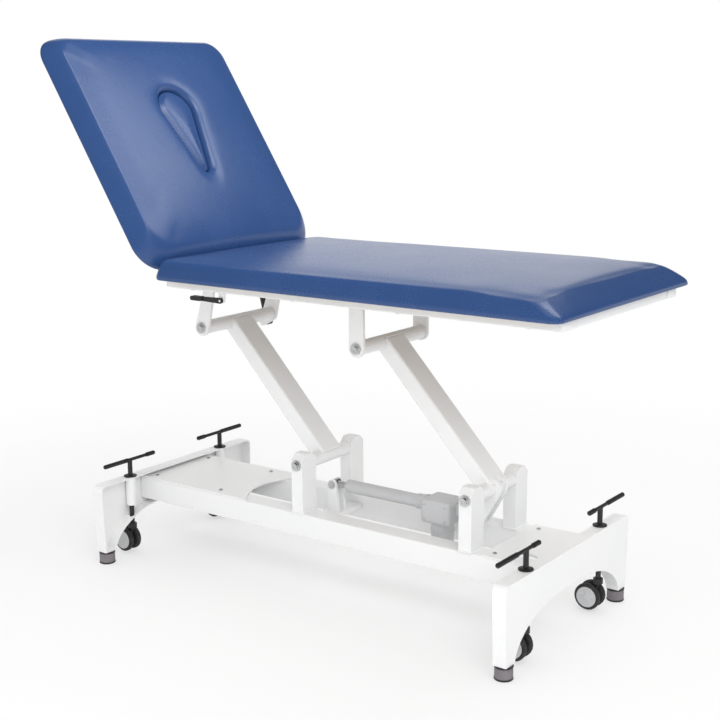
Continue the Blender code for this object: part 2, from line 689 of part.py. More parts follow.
rod_l = ACT_ROD_TO - ACT_BASE_X
rod_mesh = cylinder("actuator_rod", ACT_ROD_R, rod_l)
rod = solid("actuator_rod", rod_mesh, STEEL, couch, ((ACT_ROD_TO + ACT_BASE_X) / 2, 0.0, ACT_Z), ALONG_X)
eye = cylinder("rod_eye", ACT_EYE_R, 2 * ACT_TONGUE_HALF)
combine(rod, "UNION", eye, couch, (ACT_BASE_X, 0.0, ACT_Z), ALONG_Y)
eye_bore = cylinder("rod_eye_bore", ACT_PIN_R + TURN, 4 * ACT_TONGUE_HALF)
combine(rod, "DIFFERENCE", eye_bore, couch, (ACT_BASE_X, 0.0, ACT_Z), ALONG_Y)
pin("actuator_base_pin", ACT_TONGUE_HALF + CLEVIS_T + 2 * FIT, couch, (ACT_BASE_X, 0.0, ACT_Z),
    ACT_PIN_R, ACT_PIN_R + 0.004, 0.003, STEEL)

mount_top = RAIL_TOP - 0.02
mount_y = RAIL_OUT - RAIL_W - FIT
mount_size = (MOUNT_TO - MOUNT_FROM, 2 * mount_y, MOUNT_T)
mount_place = ((MOUNT_TO + MOUNT_FROM) / 2, 0.0, mount_top - MOUNT_T / 2)
mount = solid("actuator_mount", box("mount", mount_size), WHITE, couch, mount_place)
for side in (-1, 1):
    clevis = [(ACT_BASE_X, ACT_Z, ACT_EYE_R), (ACT_BASE_X - 0.008, mount_top - 0.008, 0.007),
              (ACT_BASE_X + 0.016, mount_top - 0.008, 0.007)]
    clevis_mesh = plate("clevis", [hull(clevis), circle(ACT_BASE_X, ACT_Z, ACT_PIN_R + FIT)], CLEVIS_T)
    place = (0.0, side * (ACT_TONGUE_HALF + FIT + CLEVIS_T / 2), 0.0)
    combine(mount, "UNION", clevis_mesh, couch, place, ALONG_Y)

box_z = DECK_Z - DECK_T / 2 - FIT - BOX_SIZE[2] / 2
control = solid("control_box", box("control_box", BOX_SIZE), BLACK, couch, (BOX_X, 0.0, box_z))
bevel(control, EDGE)
inlet_x = BOX_X - BOX_SIZE[0] / 2
combine(control, "DIFFERENCE", box("inlet", INLET_SIZE), couch, (inlet_x, 0.0, box_z))

# Top frame
rail_y = TOP_RAIL_OUT - TOP_RAIL_W / 2
rail_x = (TOP_RAIL_FROM + TOP_RAIL_TO) / 2
tube_z = -FIT - TUBE_H / 2
top_rails = {}
for side, label in ((-1, "right"), (1, "left")):
    size = (TOP_RAIL_TO - TOP_RAIL_FROM, TOP_RAIL_W, TUBE_H)
    name = "top_rail_" + label
    place = (rail_x, side * rail_y, tube_z)
    top_rails[side] = bevel(solid(name, box(name, size), WHITE, seat, place), EDGE)
    hollow(top_rails[side], size, seat, place, TUBE_WALL)

inner_y = TOP_RAIL_OUT - TOP_RAIL_W - FIT
spring_base_x = BACK_HINGE_X + SPRING_R * math.cos(SPRING_BASE_DIR)
spring_base_z = BACK_HINGE_UP + SPRING_R * math.sin(SPRING_BASE_DIR)
crosses = {}
for label, x, width in (("head", TOP_RAIL_FROM + CROSS_W / 2, CROSS_W), ("middle", TOP_PIVOT_X, CROSS_MID_W),
                        ("foot", TOP_RAIL_TO - CROSS_W / 2, CROSS_W)):
    name = "top_cross_" + label
    size = (width, 2 * inner_y, TUBE_H)
    crosses[label] = bevel(solid(name, box(name, size), WHITE, seat, (x, 0.0, tube_z)), EDGE)
    hollow(crosses[label], size, seat, (x, 0.0, tube_z), TUBE_WALL)
    if label == "foot":
        continue
    pivot_x = TOP_PIVOT_X if label == "middle" else TOP_PIVOT_HEAD_X
    root_x = width / 2 - EDGE - HANGER_ROOT_R
    root_z = -FIT - TUBE_H + HANGER_ROOT_R
    for side in (-1, 1):
        spots = [(pivot_x, -HANG, PLATE_R), (x - root_x, root_z, HANGER_ROOT_R),
                 (x + root_x, root_z, HANGER_ROOT_R)]
        if label == "head" and side == 1:
            spots.append((spring_base_x, spring_base_z, SPRING_EYE_R))
        hanger = plate("hanger", [hull(spots), circle(pivot_x, -HANG, PIVOT_R + FIT)], PLATE_T)
        combine(crosses[label], "UNION", hanger, seat, (0.0, side * PLATE_Y, 0.0), ALONG_Y)
    pin("top_shaft_" + label, PLATE_Y + PLATE_HALF + FIT, seat, (pivot_x, 0.0, -HANG),
        PIVOT_R, PIVOT_HEAD_R, PIVOT_HEAD_T, STEEL)

# Backrest hinge, with a lug on the top frame and a lug on each backrest tube
tube_top = -FIT - EDGE / 2
tube_low = -FIT - TUBE_H + EDGE / 2
turn = np.linspace(0.0, np.pi, 13)
crown = np.stack([HINGE_LUG_R * np.cos(turn), HINGE_LUG_R * np.sin(turn)], axis=1)
stand_top = tube_top - BACK_HINGE_UP
stand_low = tube_low - BACK_HINGE_UP
reach = TOP_RAIL_FROM - BACK_HINGE_X + EDGE * 2
frame_lug = np.concatenate([crown, [(-HINGE_LUG_R, stand_low), (reach, stand_low), (reach, stand_top),
                                    (HINGE_LUG_R, stand_top)]])
tube_reach = -BACK_TUBE_FROM - EDGE * 2
back_lug = np.concatenate([crown, [(-HINGE_LUG_R, stand_top), (tube_reach, stand_top),
                                   (tube_reach, stand_low), (HINGE_LUG_R, stand_low)]])
lug_hole = circle(0.0, 0.0, HINGE_PIN_R + TURN, SMALL_SEGMENTS)
spring_top_x = SPRING_R * math.cos(SPRING_TOP_DIR)
spring_top_z = SPRING_R * math.sin(SPRING_TOP_DIR)
back_lug_y = HINGE_LUG_Y + HINGE_LUG_T + PLAY
back_tube_y = back_lug_y - HINGE_LUG_T / 2 + BACK_TUBE_W / 2
for side, label in ((-1, "right"), (1, "left")):
    lug = plate("frame_lug", [frame_lug, lug_hole], HINGE_LUG_T)
    place = (BACK_HINGE_X, side * HINGE_LUG_Y, BACK_HINGE_UP)
    combine(crosses["head"], "UNION", lug, seat, place, ALONG_Y)
    name = "backrest_tube_" + label
    size = (BACK_TUBE_L, BACK_TUBE_W, TUBE_H)
    tube_place = (-BACK_TUBE_FROM - BACK_TUBE_L / 2, side * back_tube_y, tube_z - BACK_HINGE_UP)
    tube = bevel(solid(name, box(name, size), WHITE, back, tube_place), EDGE)
    hollow(tube, size, back, tube_place, TUBE_WALL)
    lug = plate("back_lug", [back_lug, lug_hole], HINGE_LUG_T)
    combine(tube, "UNION", lug, back, (0.0, side * back_lug_y, 0.0), ALONG_Y)
    if side == 1:
        stud_to = SPRING_Y - SPRING_EYE_W / 2 - PLAY
        stud_from = back_tube_y
        stud = cylinder("spring_stud", SPRING_STUD_R, stud_from - stud_to, SMALL_SEGMENTS)
        combine(tube, "UNION", stud, back, (spring_top_x, (stud_from + stud_to) / 2, spring_top_z), ALONG_Y)
    pin_mid = side * (HINGE_LUG_Y + back_lug_y) / 2
    pin("backrest_pin_" + label, HINGE_LUG_T + PLAY, seat, (BACK_HINGE_X, pin_mid, BACK_HINGE_UP),
        HINGE_PIN_R, HINGE_HEAD_R, HINGE_HEAD_T, STEEL)

# Gas spring on the left of the backrest
stud_to = SPRING_Y + SPRING_EYE_W / 2 + PLAY
stud_from = PLATE_Y
stud = cylinder("spring_base_stud", SPRING_STUD_R, stud_to - stud_from, SMALL_SEGMENTS)
stud_place = (spring_base_x, (stud_from + stud_to) / 2, spring_base_z)
combine(crosses["head"], "UNION", stud, seat, stud_place, ALONG_Y)
spring_turn = 1.5 * math.pi - (SPRING_BASE_DIR + SPRING_TOP_DIR - BACK_REST) / 2
spring_base = empty("gas_spring_base", (spring_base_x, SPRING_Y, spring_base_z), seat, spring_turn)
spring_top = empty("gas_spring_top", (spring_top_x, SPRING_Y, spring_top_z), back, spring_turn - BACK_REST)
barrel_mesh = cylinder("gas_spring_cylinder", SPRING_TUBE_R, SPRING_TUBE_L - SPRING_EYE_R * 1.2)
barrel_x = -(SPRING_TUBE_L + SPRING_EYE_R * 1.2) / 2
barrel = solid("gas_spring_cylinder", barrel_mesh, BLACK, spring_base, (barrel_x, 0.0, 0.0), ALONG_X)
neck = box("barrel_neck", (SPRING_EYE_R * 2, SPRING_EYE_W * 0.6, SPRING_EYE_R))
combine(barrel, "UNION", neck, spring_base, (-SPRING_EYE_R * 1.1, 0.0, 0.0))
barrel_eye = cylinder("barrel_eye", SPRING_EYE_R, SPRING_EYE_W)
combine(barrel, "UNION", barrel_eye, spring_base, (0.0, 0.0, 0.0), ALONG_Y)
eye_hole = cylinder("barrel_eye_hole", SPRING_STUD_R + TURN, SPRING_EYE_W * 2, SMALL_SEGMENTS)
combine(barrel, "DIFFERENCE", eye_hole, spring_base, (0.0, 0.0, 0.0), ALONG_Y)
bore_l = SPRING_TUBE_L - SPRING_BORE_FROM
barrel_bore = cylinder("barrel_bore", SPRING_ROD_R + PLAY, 2 * bore_l)
combine(barrel, "DIFFERENCE", barrel_bore, spring_base, (-SPRING_BORE_FROM - bore_l, 0.0, 0.0), ALONG_X)

piston_mesh = cylinder("gas_spring_rod", SPRING_ROD_R, SPRING_ROD_L)
piston = solid("gas_spring_rod", piston_mesh, STEEL, spring_top, (SPRING_ROD_L / 2, 0.0, 0.0), ALONG_X)
rod_end = cylinder("rod_end", SPRING_EYE_R, SPRING_EYE_W)
combine(piston, "UNION", rod_end, spring_top, (0.0, 0.0, 0.0), ALONG_Y)
rod_hole = cylinder("rod_end_hole", SPRING_STUD_R + TURN, SPRING_EYE_W * 2, SMALL_SEGMENTS)
combine(piston, "DIFFERENCE", rod_hole, spring_top, (0.0, 0.0, 0.0), ALONG_Y)

# Release lever under the right rail
lever_axis = empty("release_lever_axis", (LEVER_X, LEVER_Y, -LEVER_DROP), seat)
lug_y = LEVER_Y + LEVER_T / 2 + PLAY + HINGE_LUG_T / 2
lever_lug = hull([(LEVER_X, -LEVER_DROP, LEVER_EYE_R), (LEVER_X, -TUBE_H + 0.004, 0.010)])
lever_lug_mesh = plate("lever_lug", [lever_lug], HINGE_LUG_T)
combine(top_rails[-1], "UNION", lever_lug_mesh, seat, (0.0, lug_y, 0.0), ALONG_Y)
lever_stud_from = LEVER_Y - LEVER_T / 2 - PLAY
lever_stud = cylinder("lever_stud", LEVER_PIVOT_R, lug_y - lever_stud_from, SMALL_SEGMENTS)
stud_place = (LEVER_X, (lug_y + lever_stud_from) / 2, -LEVER_DROP)
combine(top_rails[-1], "UNION", lever_stud, seat, stud_place, ALONG_Y)
lever_bar = hull([(0.0, 0.0, LEVER_EYE_R), (-LEVER_L, 0.0, LEVER_BAR_R)], SMALL_SEGMENTS)
lever_eye = circle(0.0, 0.0, LEVER_PIVOT_R + TURN, SMALL_SEGMENTS)
lever_mesh = plate("release_lever", [lever_bar, lever_eye], LEVER_T)
lever = solid("release_lever", lever_mesh, BLACK, lever_axis, (0.0, 0.0, 0.0), ALONG_Y)
grip = hull([(-LEVER_L, 0.0, LEVER_GRIP_R), (-LEVER_L + LEVER_GRIP_L, 0.0, LEVER_GRIP_R)], SMALL_SEGMENTS)
combine(lever, "UNION", plate("lever_grip", [grip], LEVER_GRIP_T), lever_axis, (0.0, 0.0, 0.0), ALONG_Y)

# Seat cushion on its board
seat_mesh = cushion("seat_cushion", 0.0, SEAT_L, SEAT_HEAD_IN, SEAT_FOOT_IN, PAD_SIDE_IN, SEAT_CORNER,
                    SEAT_CORNER, SEAT_FOOT_SLOPE)
seat_pad = solid("seat_cushion", seat_mesh, VINYL, seat)
board_y = PAD_W / 2 - BOARD_MARGIN
board_to = SEAT_L - BOARD_FOOT_MARGIN
board_outline = rounded(BOARD_MARGIN, board_to, -board_y, board_y, EDGE * 3, 4)
board_mesh = plate("seat_board", [board_outline], BOARD_T)
solid("seat_board", board_mesh, BOARD, seat, (0.0, 0.0, BOARD_T / 2))
pocket = rounded(BOARD_MARGIN - FIT, board_to + FIT, -board_y - FIT, board_y + FIT, EDGE * 3 + FIT, 4)
combine(seat_pad, "DIFFERENCE", plate("seat_pocket", [pocket], 2 * (BOARD_T + FIT)), seat)

# Backrest cushion with its breathing hole and plug
back_from = -BACK_PAD_FROM
back_to = -BACK_END
back_mesh = cushion("backrest_cushion", back_to, back_from, BACK_TOP_IN, BACK_LOW_IN, BACK_SIDE_IN,
                    BACK_CORNER, BACK_LOW_CORNER, 0.0)
back_pad = solid("backrest_cushion", back_mesh, VINYL, back, (0.0, 0.0, -BACK_HINGE_UP))
hole_spots = [(-HOLE_WIDE_AT, 0.0, HOLE_WIDE_R), (-HOLE_NARROW_AT, 0.0, HOLE_NARROW_R)]
hole = hull(hole_spots, 40)
x0 = back_to + BOARD_MARGIN
x1 = back_from - BOARD_FOOT_MARGIN
back_board_outline = rounded(x0, x1, -board_y, board_y, BOARD_CORNER)
back_board = plate("backrest_board", [back_board_outline, hole], BOARD_T)
solid("backrest_board", back_board, BOARD, back, (0.0, 0.0, BOARD_T / 2 - BACK_HINGE_UP))
pocket = rounded(x0 - FIT, x1 + FIT, -board_y - FIT, board_y + FIT, BOARD_CORNER + FIT)
pocket_mesh = plate("back_pocket", [pocket], 2 * (BOARD_T + FIT))
combine(back_pad, "DIFFERENCE", pocket_mesh, back, (0.0, 0.0, -BACK_HINGE_UP))
combine(back_pad, "DIFFERENCE", plate("hole", [hole], 4 * PAD_CROWN), back)

plug_rings = []
for z, inset in ((0.0, 0.0), (PLUG_H - PLUG_EDGE, 0.0), (PLUG_H - PLUG_EDGE * 0.3, PLUG_EDGE * 0.3),
                 (PLUG_H, PLUG_EDGE)):
    shrink = SOFT + inset
    turn = np.arange(40) * 2 * np.pi / 40
    wide = np.stack([np.cos(turn), np.sin(turn)], axis=1)
    lean = (HOLE_WIDE_R - HOLE_NARROW_R) / (HOLE_WIDE_AT - HOLE_NARROW_AT)
    at = np.where(np.cos(turn) > lean, -HOLE_NARROW_AT, -HOLE_WIDE_AT)
    size = np.where(np.cos(turn) > lean, HOLE_NARROW_R, HOLE_WIDE_R) - shrink
    loop = wide * size[:, None]
    loop[:, 0] += at
    plug_rings.append(at_height(loop, z))
solid("breathing_hole_plug", loft("plug", plug_rings), VINYL, back, (0.0, 0.0, -BACK_HINGE_UP))

bpy.context.view_layer.update()
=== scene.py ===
"""Looks of the electric treatment couch: upholstery, finishes, small hardware, light and camera.

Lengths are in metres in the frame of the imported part: +X to the foot end, +Z up.
"""
import json
import math

import bpy
import numpy as np
from mathutils import Matrix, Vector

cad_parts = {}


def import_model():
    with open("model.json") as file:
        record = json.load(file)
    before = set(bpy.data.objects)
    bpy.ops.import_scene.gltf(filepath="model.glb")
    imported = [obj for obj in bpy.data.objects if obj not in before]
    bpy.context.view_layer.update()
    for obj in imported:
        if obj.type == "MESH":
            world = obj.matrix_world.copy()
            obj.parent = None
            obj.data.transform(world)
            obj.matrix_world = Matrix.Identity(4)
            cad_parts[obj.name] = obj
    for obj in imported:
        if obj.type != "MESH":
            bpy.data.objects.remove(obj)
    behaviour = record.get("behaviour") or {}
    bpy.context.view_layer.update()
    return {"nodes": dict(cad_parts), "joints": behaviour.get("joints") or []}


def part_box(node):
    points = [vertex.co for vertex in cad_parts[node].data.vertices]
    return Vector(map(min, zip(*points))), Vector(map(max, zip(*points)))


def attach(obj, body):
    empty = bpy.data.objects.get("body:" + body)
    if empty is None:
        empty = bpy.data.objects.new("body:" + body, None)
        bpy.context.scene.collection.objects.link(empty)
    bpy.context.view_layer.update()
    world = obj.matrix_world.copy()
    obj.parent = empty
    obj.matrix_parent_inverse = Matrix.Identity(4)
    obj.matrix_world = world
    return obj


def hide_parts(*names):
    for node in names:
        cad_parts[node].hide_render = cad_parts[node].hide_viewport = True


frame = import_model()

# Pads, as the part has them
PAD_EDGE = 0.053
PAD_SIDE_IN = 0.025
PAD_CROWN = 0.013
BOARD_T = 0.015
BOARD_MARGIN = 0.014
BOARD_FOOT_MARGIN = 0.034
SEAT_L = 1.197
SEAT_HALF = 0.355
SEAT_CORNER = 0.026
SEAT_HEAD_IN = 0.006
SEAT_FOOT_IN = 0.060
BACK_FROM = -0.0125
BACK_TO = -0.7345
BACK_CORNER = 0.068
BACK_LOW_CORNER = 0.080
BACK_LOW_IN = 0.055
BACK_TOP_IN = 0.030
BACK_SINK = 0.006
HOLE_WIDE = (-0.478, 0.072)
HOLE_NARROW = (-0.292, 0.028)
HOLE_CENTRE = -0.430

# Covers, as the photograph shows them
SEAT_NOSE = 0.018
SEAT_NOSE_ROUND = 0.007
SEAT_SLOPE = 0.86
SEAT_DROOP = (0.18, 0.06)
SEAT_DROOP_FROM = 0.27
SEAT_DROOP_L = 0.22
SEAT_OUT = 0.005
SEAT_POCKET_CORNER = 0.009
BACK_BEVEL = 0.041
BACK_SIDE_SLOPE = 0.70
BACK_TOP_SLOPE = 0.35
BACK_OUT = 0.006
BACK_POCKET_CORNER = 0.050
HOLE_LINING = 0.008
HOLE_LINING_FOOT = 0.0008
HOLE_FOOT_IN = 0.0012
HOLE_ROLL = (0.021, 0.019)
PLUG_GAP = 0.0015
PLUG_TOP = 0.060
PLUG_DOME = 0.005

# Rows of both covers: two up and down the board's pocket, two round the hem, then those up the side
POCKET_GAP = 0.0005
HEM_UP = np.array([BOARD_T + POCKET_GAP, POCKET_GAP, 0.0, 0.0016])
SIDE_UP = PAD_EDGE * np.sin(np.linspace(0.06, 0.5, 12) * math.pi)
COVER_UP = np.concatenate([HEM_UP, SIDE_UP])
OUTSIDE = np.append(np.zeros(2), np.ones(len(COVER_UP) - 2))

# Stuffing of the covers by simulation
STAPLED_UP_TO = 0.012
SWELL = 0.004
SWELL_STEPS = 20
SEAT_CALM = 6
BACK_CALM = 24

# Lift, tubes and castors, as the part has them
ARM_L = 0.475
ARM_REST = math.radians(47.0)
ARM_HALF = 0.040
ARM_TUBE_R = 0.019
FOOT_POST_X = 0.825
HANGER_Y = 0.147
HANGER_T = 0.008
CROSS_HEAD_X = 0.022
TUBE_H = 0.025
BACK_TUBE_Y = 0.2395
BACK_TUBE_W = 0.030
BACK_TUBE_END = -0.606
BACK_TUBE_GAP = 0.0003
DRIVE_X = (0.625, 0.715)
DRIVE_Z = (0.233, 0.299)
DRIVE_HALF = 0.042
DRIVE_AXIS_Z = 0.275
DRIVE_TUBE_R = 0.018
MOTOR_R = 0.031
MOTOR_Z = 0.163
SPRING_L = 0.205
SPRING_R = 0.011
PEDAL_R = 0.0048
WHEEL_FACE = 0.023
CORNERS = ("head_right", "head_left", "foot_right", "foot_left")

# Fasteners, welds and trim: radii, heights, lengths and places
NUT = (0.0098, 0.0062)
BOARD_BOLT = (0.0060, 0.0048)
SEAT_BOLT_SHARES = (0.06, 0.35, 0.62, 0.92)
BACK_BOLTS_X = (-0.10, -0.33, -0.56)
DECK_SCREW = 0.0056
DECK_SCREWS_X = {"head_deck": (0.045, 0.30), "foot_deck": (0.025, 0.148)}
DECK_SCREWS_Y = 0.112
CASE_SCREW = 0.0036
CASE_SCREW_IN = 0.014
MOTOR_RINGS_UP = (0.006, 0.048)
LID_UP = 0.010
LID_CORNER = 0.004
END_PLUG_CORNER = 0.0028
END_PLUG_IN = 0.001
HUB_DISC = 0.0275
GRIP_R = 0.0064
GRIP_LONG = 0.094
GRIP_SHORT = 0.034
GRIP_BEYOND = 0.002
GROOVE_L = 0.006
POST_WELD = 0.0026
POST_WELD_OUT = 0.0008
POST_WELD_CORNER = 0.002
ARM_SIDE_WELD = 0.0022
ARM_SIDE_WELD_OUT = 0.0006
ARM_LINE_WELD = 0.0024
ARM_LINE_WELD_OUT = 0.0012
ARM_LINE_WELD_IN = 0.001
HANGER_WELD = 0.0022
HANGER_WELD_HALF = 0.0135
SHARP_FROM = math.radians(38.0)

JOINT = {joint["name"]: joint for joint in frame["joints"]}
MIDDLE_X = FOOT_POST_X - JOINT["lift"]["pos_m"][0]


# ---------------------------------------------------------------- places

def seat_place(points):
    """Move points from the seat's own frame, on the underside of its pad, to the part's frame."""
    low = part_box("seat_cushion")[0]
    return points + np.array([low.x, 0.0, low.z])


def back_place(points):
    """Move points from the backrest's frame, on its hinge with Z out of the pad, to the part's frame."""
    out = np.array(JOINT["plug_lift_out"]["axis"], float)
    along = np.array([out[2], 0.0, -out[0]])
    across = np.array([0.0, 1.0, 0.0])
    return np.array(JOINT["backrest_tilt"]["pos_m"], float) + points @ np.stack([along, across, out])


# ---------------------------------------------------------------- meshes

def grid_faces(index):
    """Quads between the neighbours of a two-way table of point numbers."""
    quads = np.stack([index[:-1, :-1], index[1:, :-1], index[1:, 1:], index[:-1, 1:]], axis=-1)
    return quads.reshape(-1, 4)


def closed(index):
    """Repeat the first column of a table of point numbers, so that its rings close."""
    return np.concatenate([index, index[:, :1]], axis=1)


def skin(name, points, faces, finish, body):
    """Make a smooth mesh from points and faces, give it its finish and let it ride on a body."""
    mesh = bpy.data.meshes.new(name)
    mesh.from_pydata(points.tolist(), [], [list(face) for face in faces])
    mesh.validate()
    mesh.polygons.foreach_set("use_smooth", np.ones(len(mesh.polygons), bool))
    mesh.materials.append(finish)
    obj = bpy.data.objects.new(name, mesh)
    bpy.context.scene.collection.objects.link(obj)
    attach(obj, body)
    return obj


def stack(rings):
    """Points and quads of a skin over rings of equal even counts, with a strip across both end rings."""
    layers, around = rings.shape[:2]
    index = np.arange(layers * around).reshape(layers, around)
    half = around // 2
    low, high = (np.stack([ring[:half], ring[:half - 1:-1]], axis=1) for ring in (index[0], index[-1]))
    quads = [grid_faces(closed(index).T), grid_faces(low[:, ::-1]), grid_faces(high)]
    return rings.reshape(-1, 3), np.concatenate(quads)


def loop(rings):
    """Points and quads of a closed tube: rings that come back to the first one."""
    layers, around = rings.shape[:2]
    index = closed(np.arange(layers * around).reshape(layers, around))
    return rings.reshape(-1, 3), grid_faces(np.concatenate([index, index[:1]]).T)


def spun(profile, count=32, sides=6):
    """Rings of a profile turned about +Z. Its rows are radius, height and how much of a polygon the ring
    is: 0 gives a circle, and 1 a polygon whose radius is the cosine rule over that many flat sides."""
    radius, height, flat = np.array(profile, float).T[:, :, None]
    turn = np.arange(count) * 2 * math.pi / count
    wedge = turn % (2 * math.pi / sides) - math.pi / sides
    reach = radius * (1 + flat * (math.cos(math.pi / sides) / np.cos(wedge) - 1))
    return np.stack([reach * np.cos(turn), reach * np.sin(turn), height + 0 * reach], axis=-1)


def stand(shape, place, axis):
    """Turn a skin's +Z to an axis and move it to a place."""
    points, quads = shape
    axis = np.array(axis, float) / np.linalg.norm(axis)
    side = np.cross(axis, [0.0, 1.0, 0.0] if abs(axis[1]) < 0.9 else [1.0, 0.0, 0.0])
    side = side / np.linalg.norm(side)
    return points @ np.stack([side, np.cross(axis, side), axis]) + np.array(place, float), quads


def together(shapes):
    """One skin out of several."""
    start = np.cumsum([0] + [len(points) for points, quads in shapes[:-1]])
    points = np.concatenate([points for points, quads in shapes])
    return points, np.concatenate([quads + first for first, (_, quads) in zip(start, shapes)])


def bead(path, size, ring=False):
    """Weld bead: a round of eight points carried along a path, its size rippled by a sine of the way gone.
    An open bead thins out towards both ends."""
    path = np.asarray(path, float)
    ahead = np.gradient(path, axis=0)
    if ring:
        ahead = np.roll(path, -1, axis=0) - np.roll(path, 1, axis=0)
    ahead = ahead / np.linalg.norm(ahead, axis=1, keepdims=True)
    lean = np.array([0.31, 0.53, 0.79])
    side = np.cross(ahead, lean)
    side = side / np.linalg.norm(side, axis=1, keepdims=True)
    over = np.cross(ahead, side)
    gone = np.concatenate([[0.0], np.cumsum(np.linalg.norm(np.diff(path, axis=0), axis=1))])
    thick = size * (1 + 0.16 * np.sin(gone * 2 * math.pi / (1.25 * size)))
    if not ring:
        thick = thick * (1.02 - np.abs(2 * gone / gone[-1] - 1) ** 24)
    turn = (np.arange(8) * math.pi / 4)[None, :, None]
    rings = np.cos(turn) * side[:, None] + np.sin(turn) * over[:, None]
    rings = path[:, None] + thick[:, None, None] * rings
    return loop(rings) if ring else stack(rings)


def hard(name, shapes, slot, body):
    """Add rigid hardware made of one or more skins, smooth but for its sharp edges."""
    points, quads = together(shapes)
    obj = skin(name, points, quads, FINISH[slot], body)
    obj.data.set_sharp_from_angle(angle=SHARP_FROM)
    return obj


def rounded_ring(count_x, count_y, arc):
    """Code of a rectangle with round corners, walked anticlockwise from the middle of its first corner.

    Each point has its share of the way between the corner centres and the direction of its arc.
    """
    shares, turns = [], []
    for count, base in ((count_x, 270.0), (count_y, 0.0), (count_x, 90.0), (count_y, 180.0)):
        run = np.concatenate([np.zeros(arc), np.linspace(0, 1, count + 1), np.ones(arc - 1)])
        lean = np.linspace(-45, 45, 2 * arc + 1)
        bend = np.concatenate([lean[:arc], np.zeros(count + 1), lean[arc + 1:-1]])
        shares.append(run)
        turns.append(np.radians(base + bend))
    zero, one = np.zeros_like, np.ones_like
    share_x = np.concatenate([shares[0], one(shares[1]), 1 - shares[2], zero(shares[3])])
    share_y = np.concatenate([zero(shares[0]), shares[1], one(shares[2]), 1 - shares[3]])
    turn = np.concatenate(turns)
    return np.stack([share_x, share_y], axis=1), np.stack([np.cos(turn), np.sin(turn)], axis=1)


def ring_points(code, x0, x1, half, corner, corner_x1):
    """Points of rounded rectangles from arrays of limits, half widths and corner radii at both ends."""
    share, arc = code
    x0, x1, half, low, high = (np.asarray(v, float)[:, None] for v in (x0, x1, half, corner, corner_x1))
    round_off = low + share[:, 0] * (high - low)
    x = x0 + low + share[:, 0] * (x1 - high - x0 - low) + round_off * arc[:, 0]
    y = -half + round_off + share[:, 1] * 2 * (half - round_off) + round_off * arc[:, 1]
    return np.stack([x, y], axis=-1)


def lift(rings, height):
    """Add heights, one for each ring, to flat rings."""
    up = np.broadcast_to(np.asarray(height, float)[:, None], rings.shape[:2])
    return np.concatenate([rings, up[..., None]], axis=-1)


def rolled(height, full):
    """Inset of a side that goes up as a quarter of an ellipse: the share of its draw at each height."""
    return 1 - np.sqrt(np.clip(1 - (height / full) ** 2, 0, 1))


def sloped(height, full, straight):
    """Inset of a side that is a straight slope with a little roll at its top."""
    return straight * height / full + (1 - straight) * rolled(height, full)


def settle(move, pairs, rounds):
    """Calm a field of moves: in each round half of each move turns into the mean of its neighbours'."""
    both = np.concatenate([pairs, pairs[:, ::-1]])
    count = np.bincount(both[:, 0], minlength=len(move))[:, None]
    for _ in range(rounds):
        total = np.zeros_like(move)
        np.add.at(total, both[:, 0], move[both[:, 1]])
        move = 0.5 * move + 0.5 * total / count
    return move


def inflate(obj, pinned, rounds):
    """Blow a closed cover up a little with Cloth pressure, keep each point's move within the swell and calm
    the moves over some rounds."""
    mesh = obj.data
    before = np.zeros(len(mesh.vertices) * 3, np.float32)
    mesh.vertices.foreach_get("co", before)
    group = obj.vertex_groups.new(name="stapled")
    group.add(np.flatnonzero(pinned).tolist(), 1.0, "REPLACE")
    cloth = obj.modifiers.new("Stuffing", "CLOTH")
    cloth.settings.quality = 4
    cloth.settings.use_pressure = True
    cloth.settings.uniform_pressure_force = 4.0
    cloth.settings.vertex_group_mass = group.name
    cloth.settings.effector_weights.gravity = 0.0
    cloth.settings.tension_stiffness = 20.0
    cloth.settings.compression_stiffness = 12.0
    cloth.settings.bending_stiffness = 1.0
    cloth.point_cache.frame_start = 1
    cloth.point_cache.frame_end = SWELL_STEPS
    scene = bpy.context.scene
    for step in range(1, SWELL_STEPS + 1):
        scene.frame_set(step)
    shown = obj.evaluated_get(bpy.context.evaluated_depsgraph_get()).data
    after = np.zeros_like(before)
    shown.vertices.foreach_get("co", after)
    obj.modifiers.remove(cloth)
    obj.vertex_groups.clear()
    scene.frame_set(1)
    move = (after - before).reshape(-1, 3)
    size = np.linalg.norm(move, axis=1, keepdims=True)
    move = move * np.minimum(1.0, SWELL / np.maximum(size, 1e-9))
    pairs = np.zeros(len(mesh.edges) * 2, np.int32)
    mesh.edges.foreach_get("vertices", pairs)
    move = settle(move, pairs.reshape(-1, 2), rounds)
    mesh.vertices.foreach_set("co", (before.reshape(-1, 3) + move).ravel())
    mesh.update()


def refine(obj):
    """One step of subdivision, the same in the view and the render."""
    smooth = obj.modifiers.new("Smooth", "SUBSURF")
    smooth.levels = 1
    smooth.render_levels = 1
    return obj


# ---------------------------------------------------------------- finishes

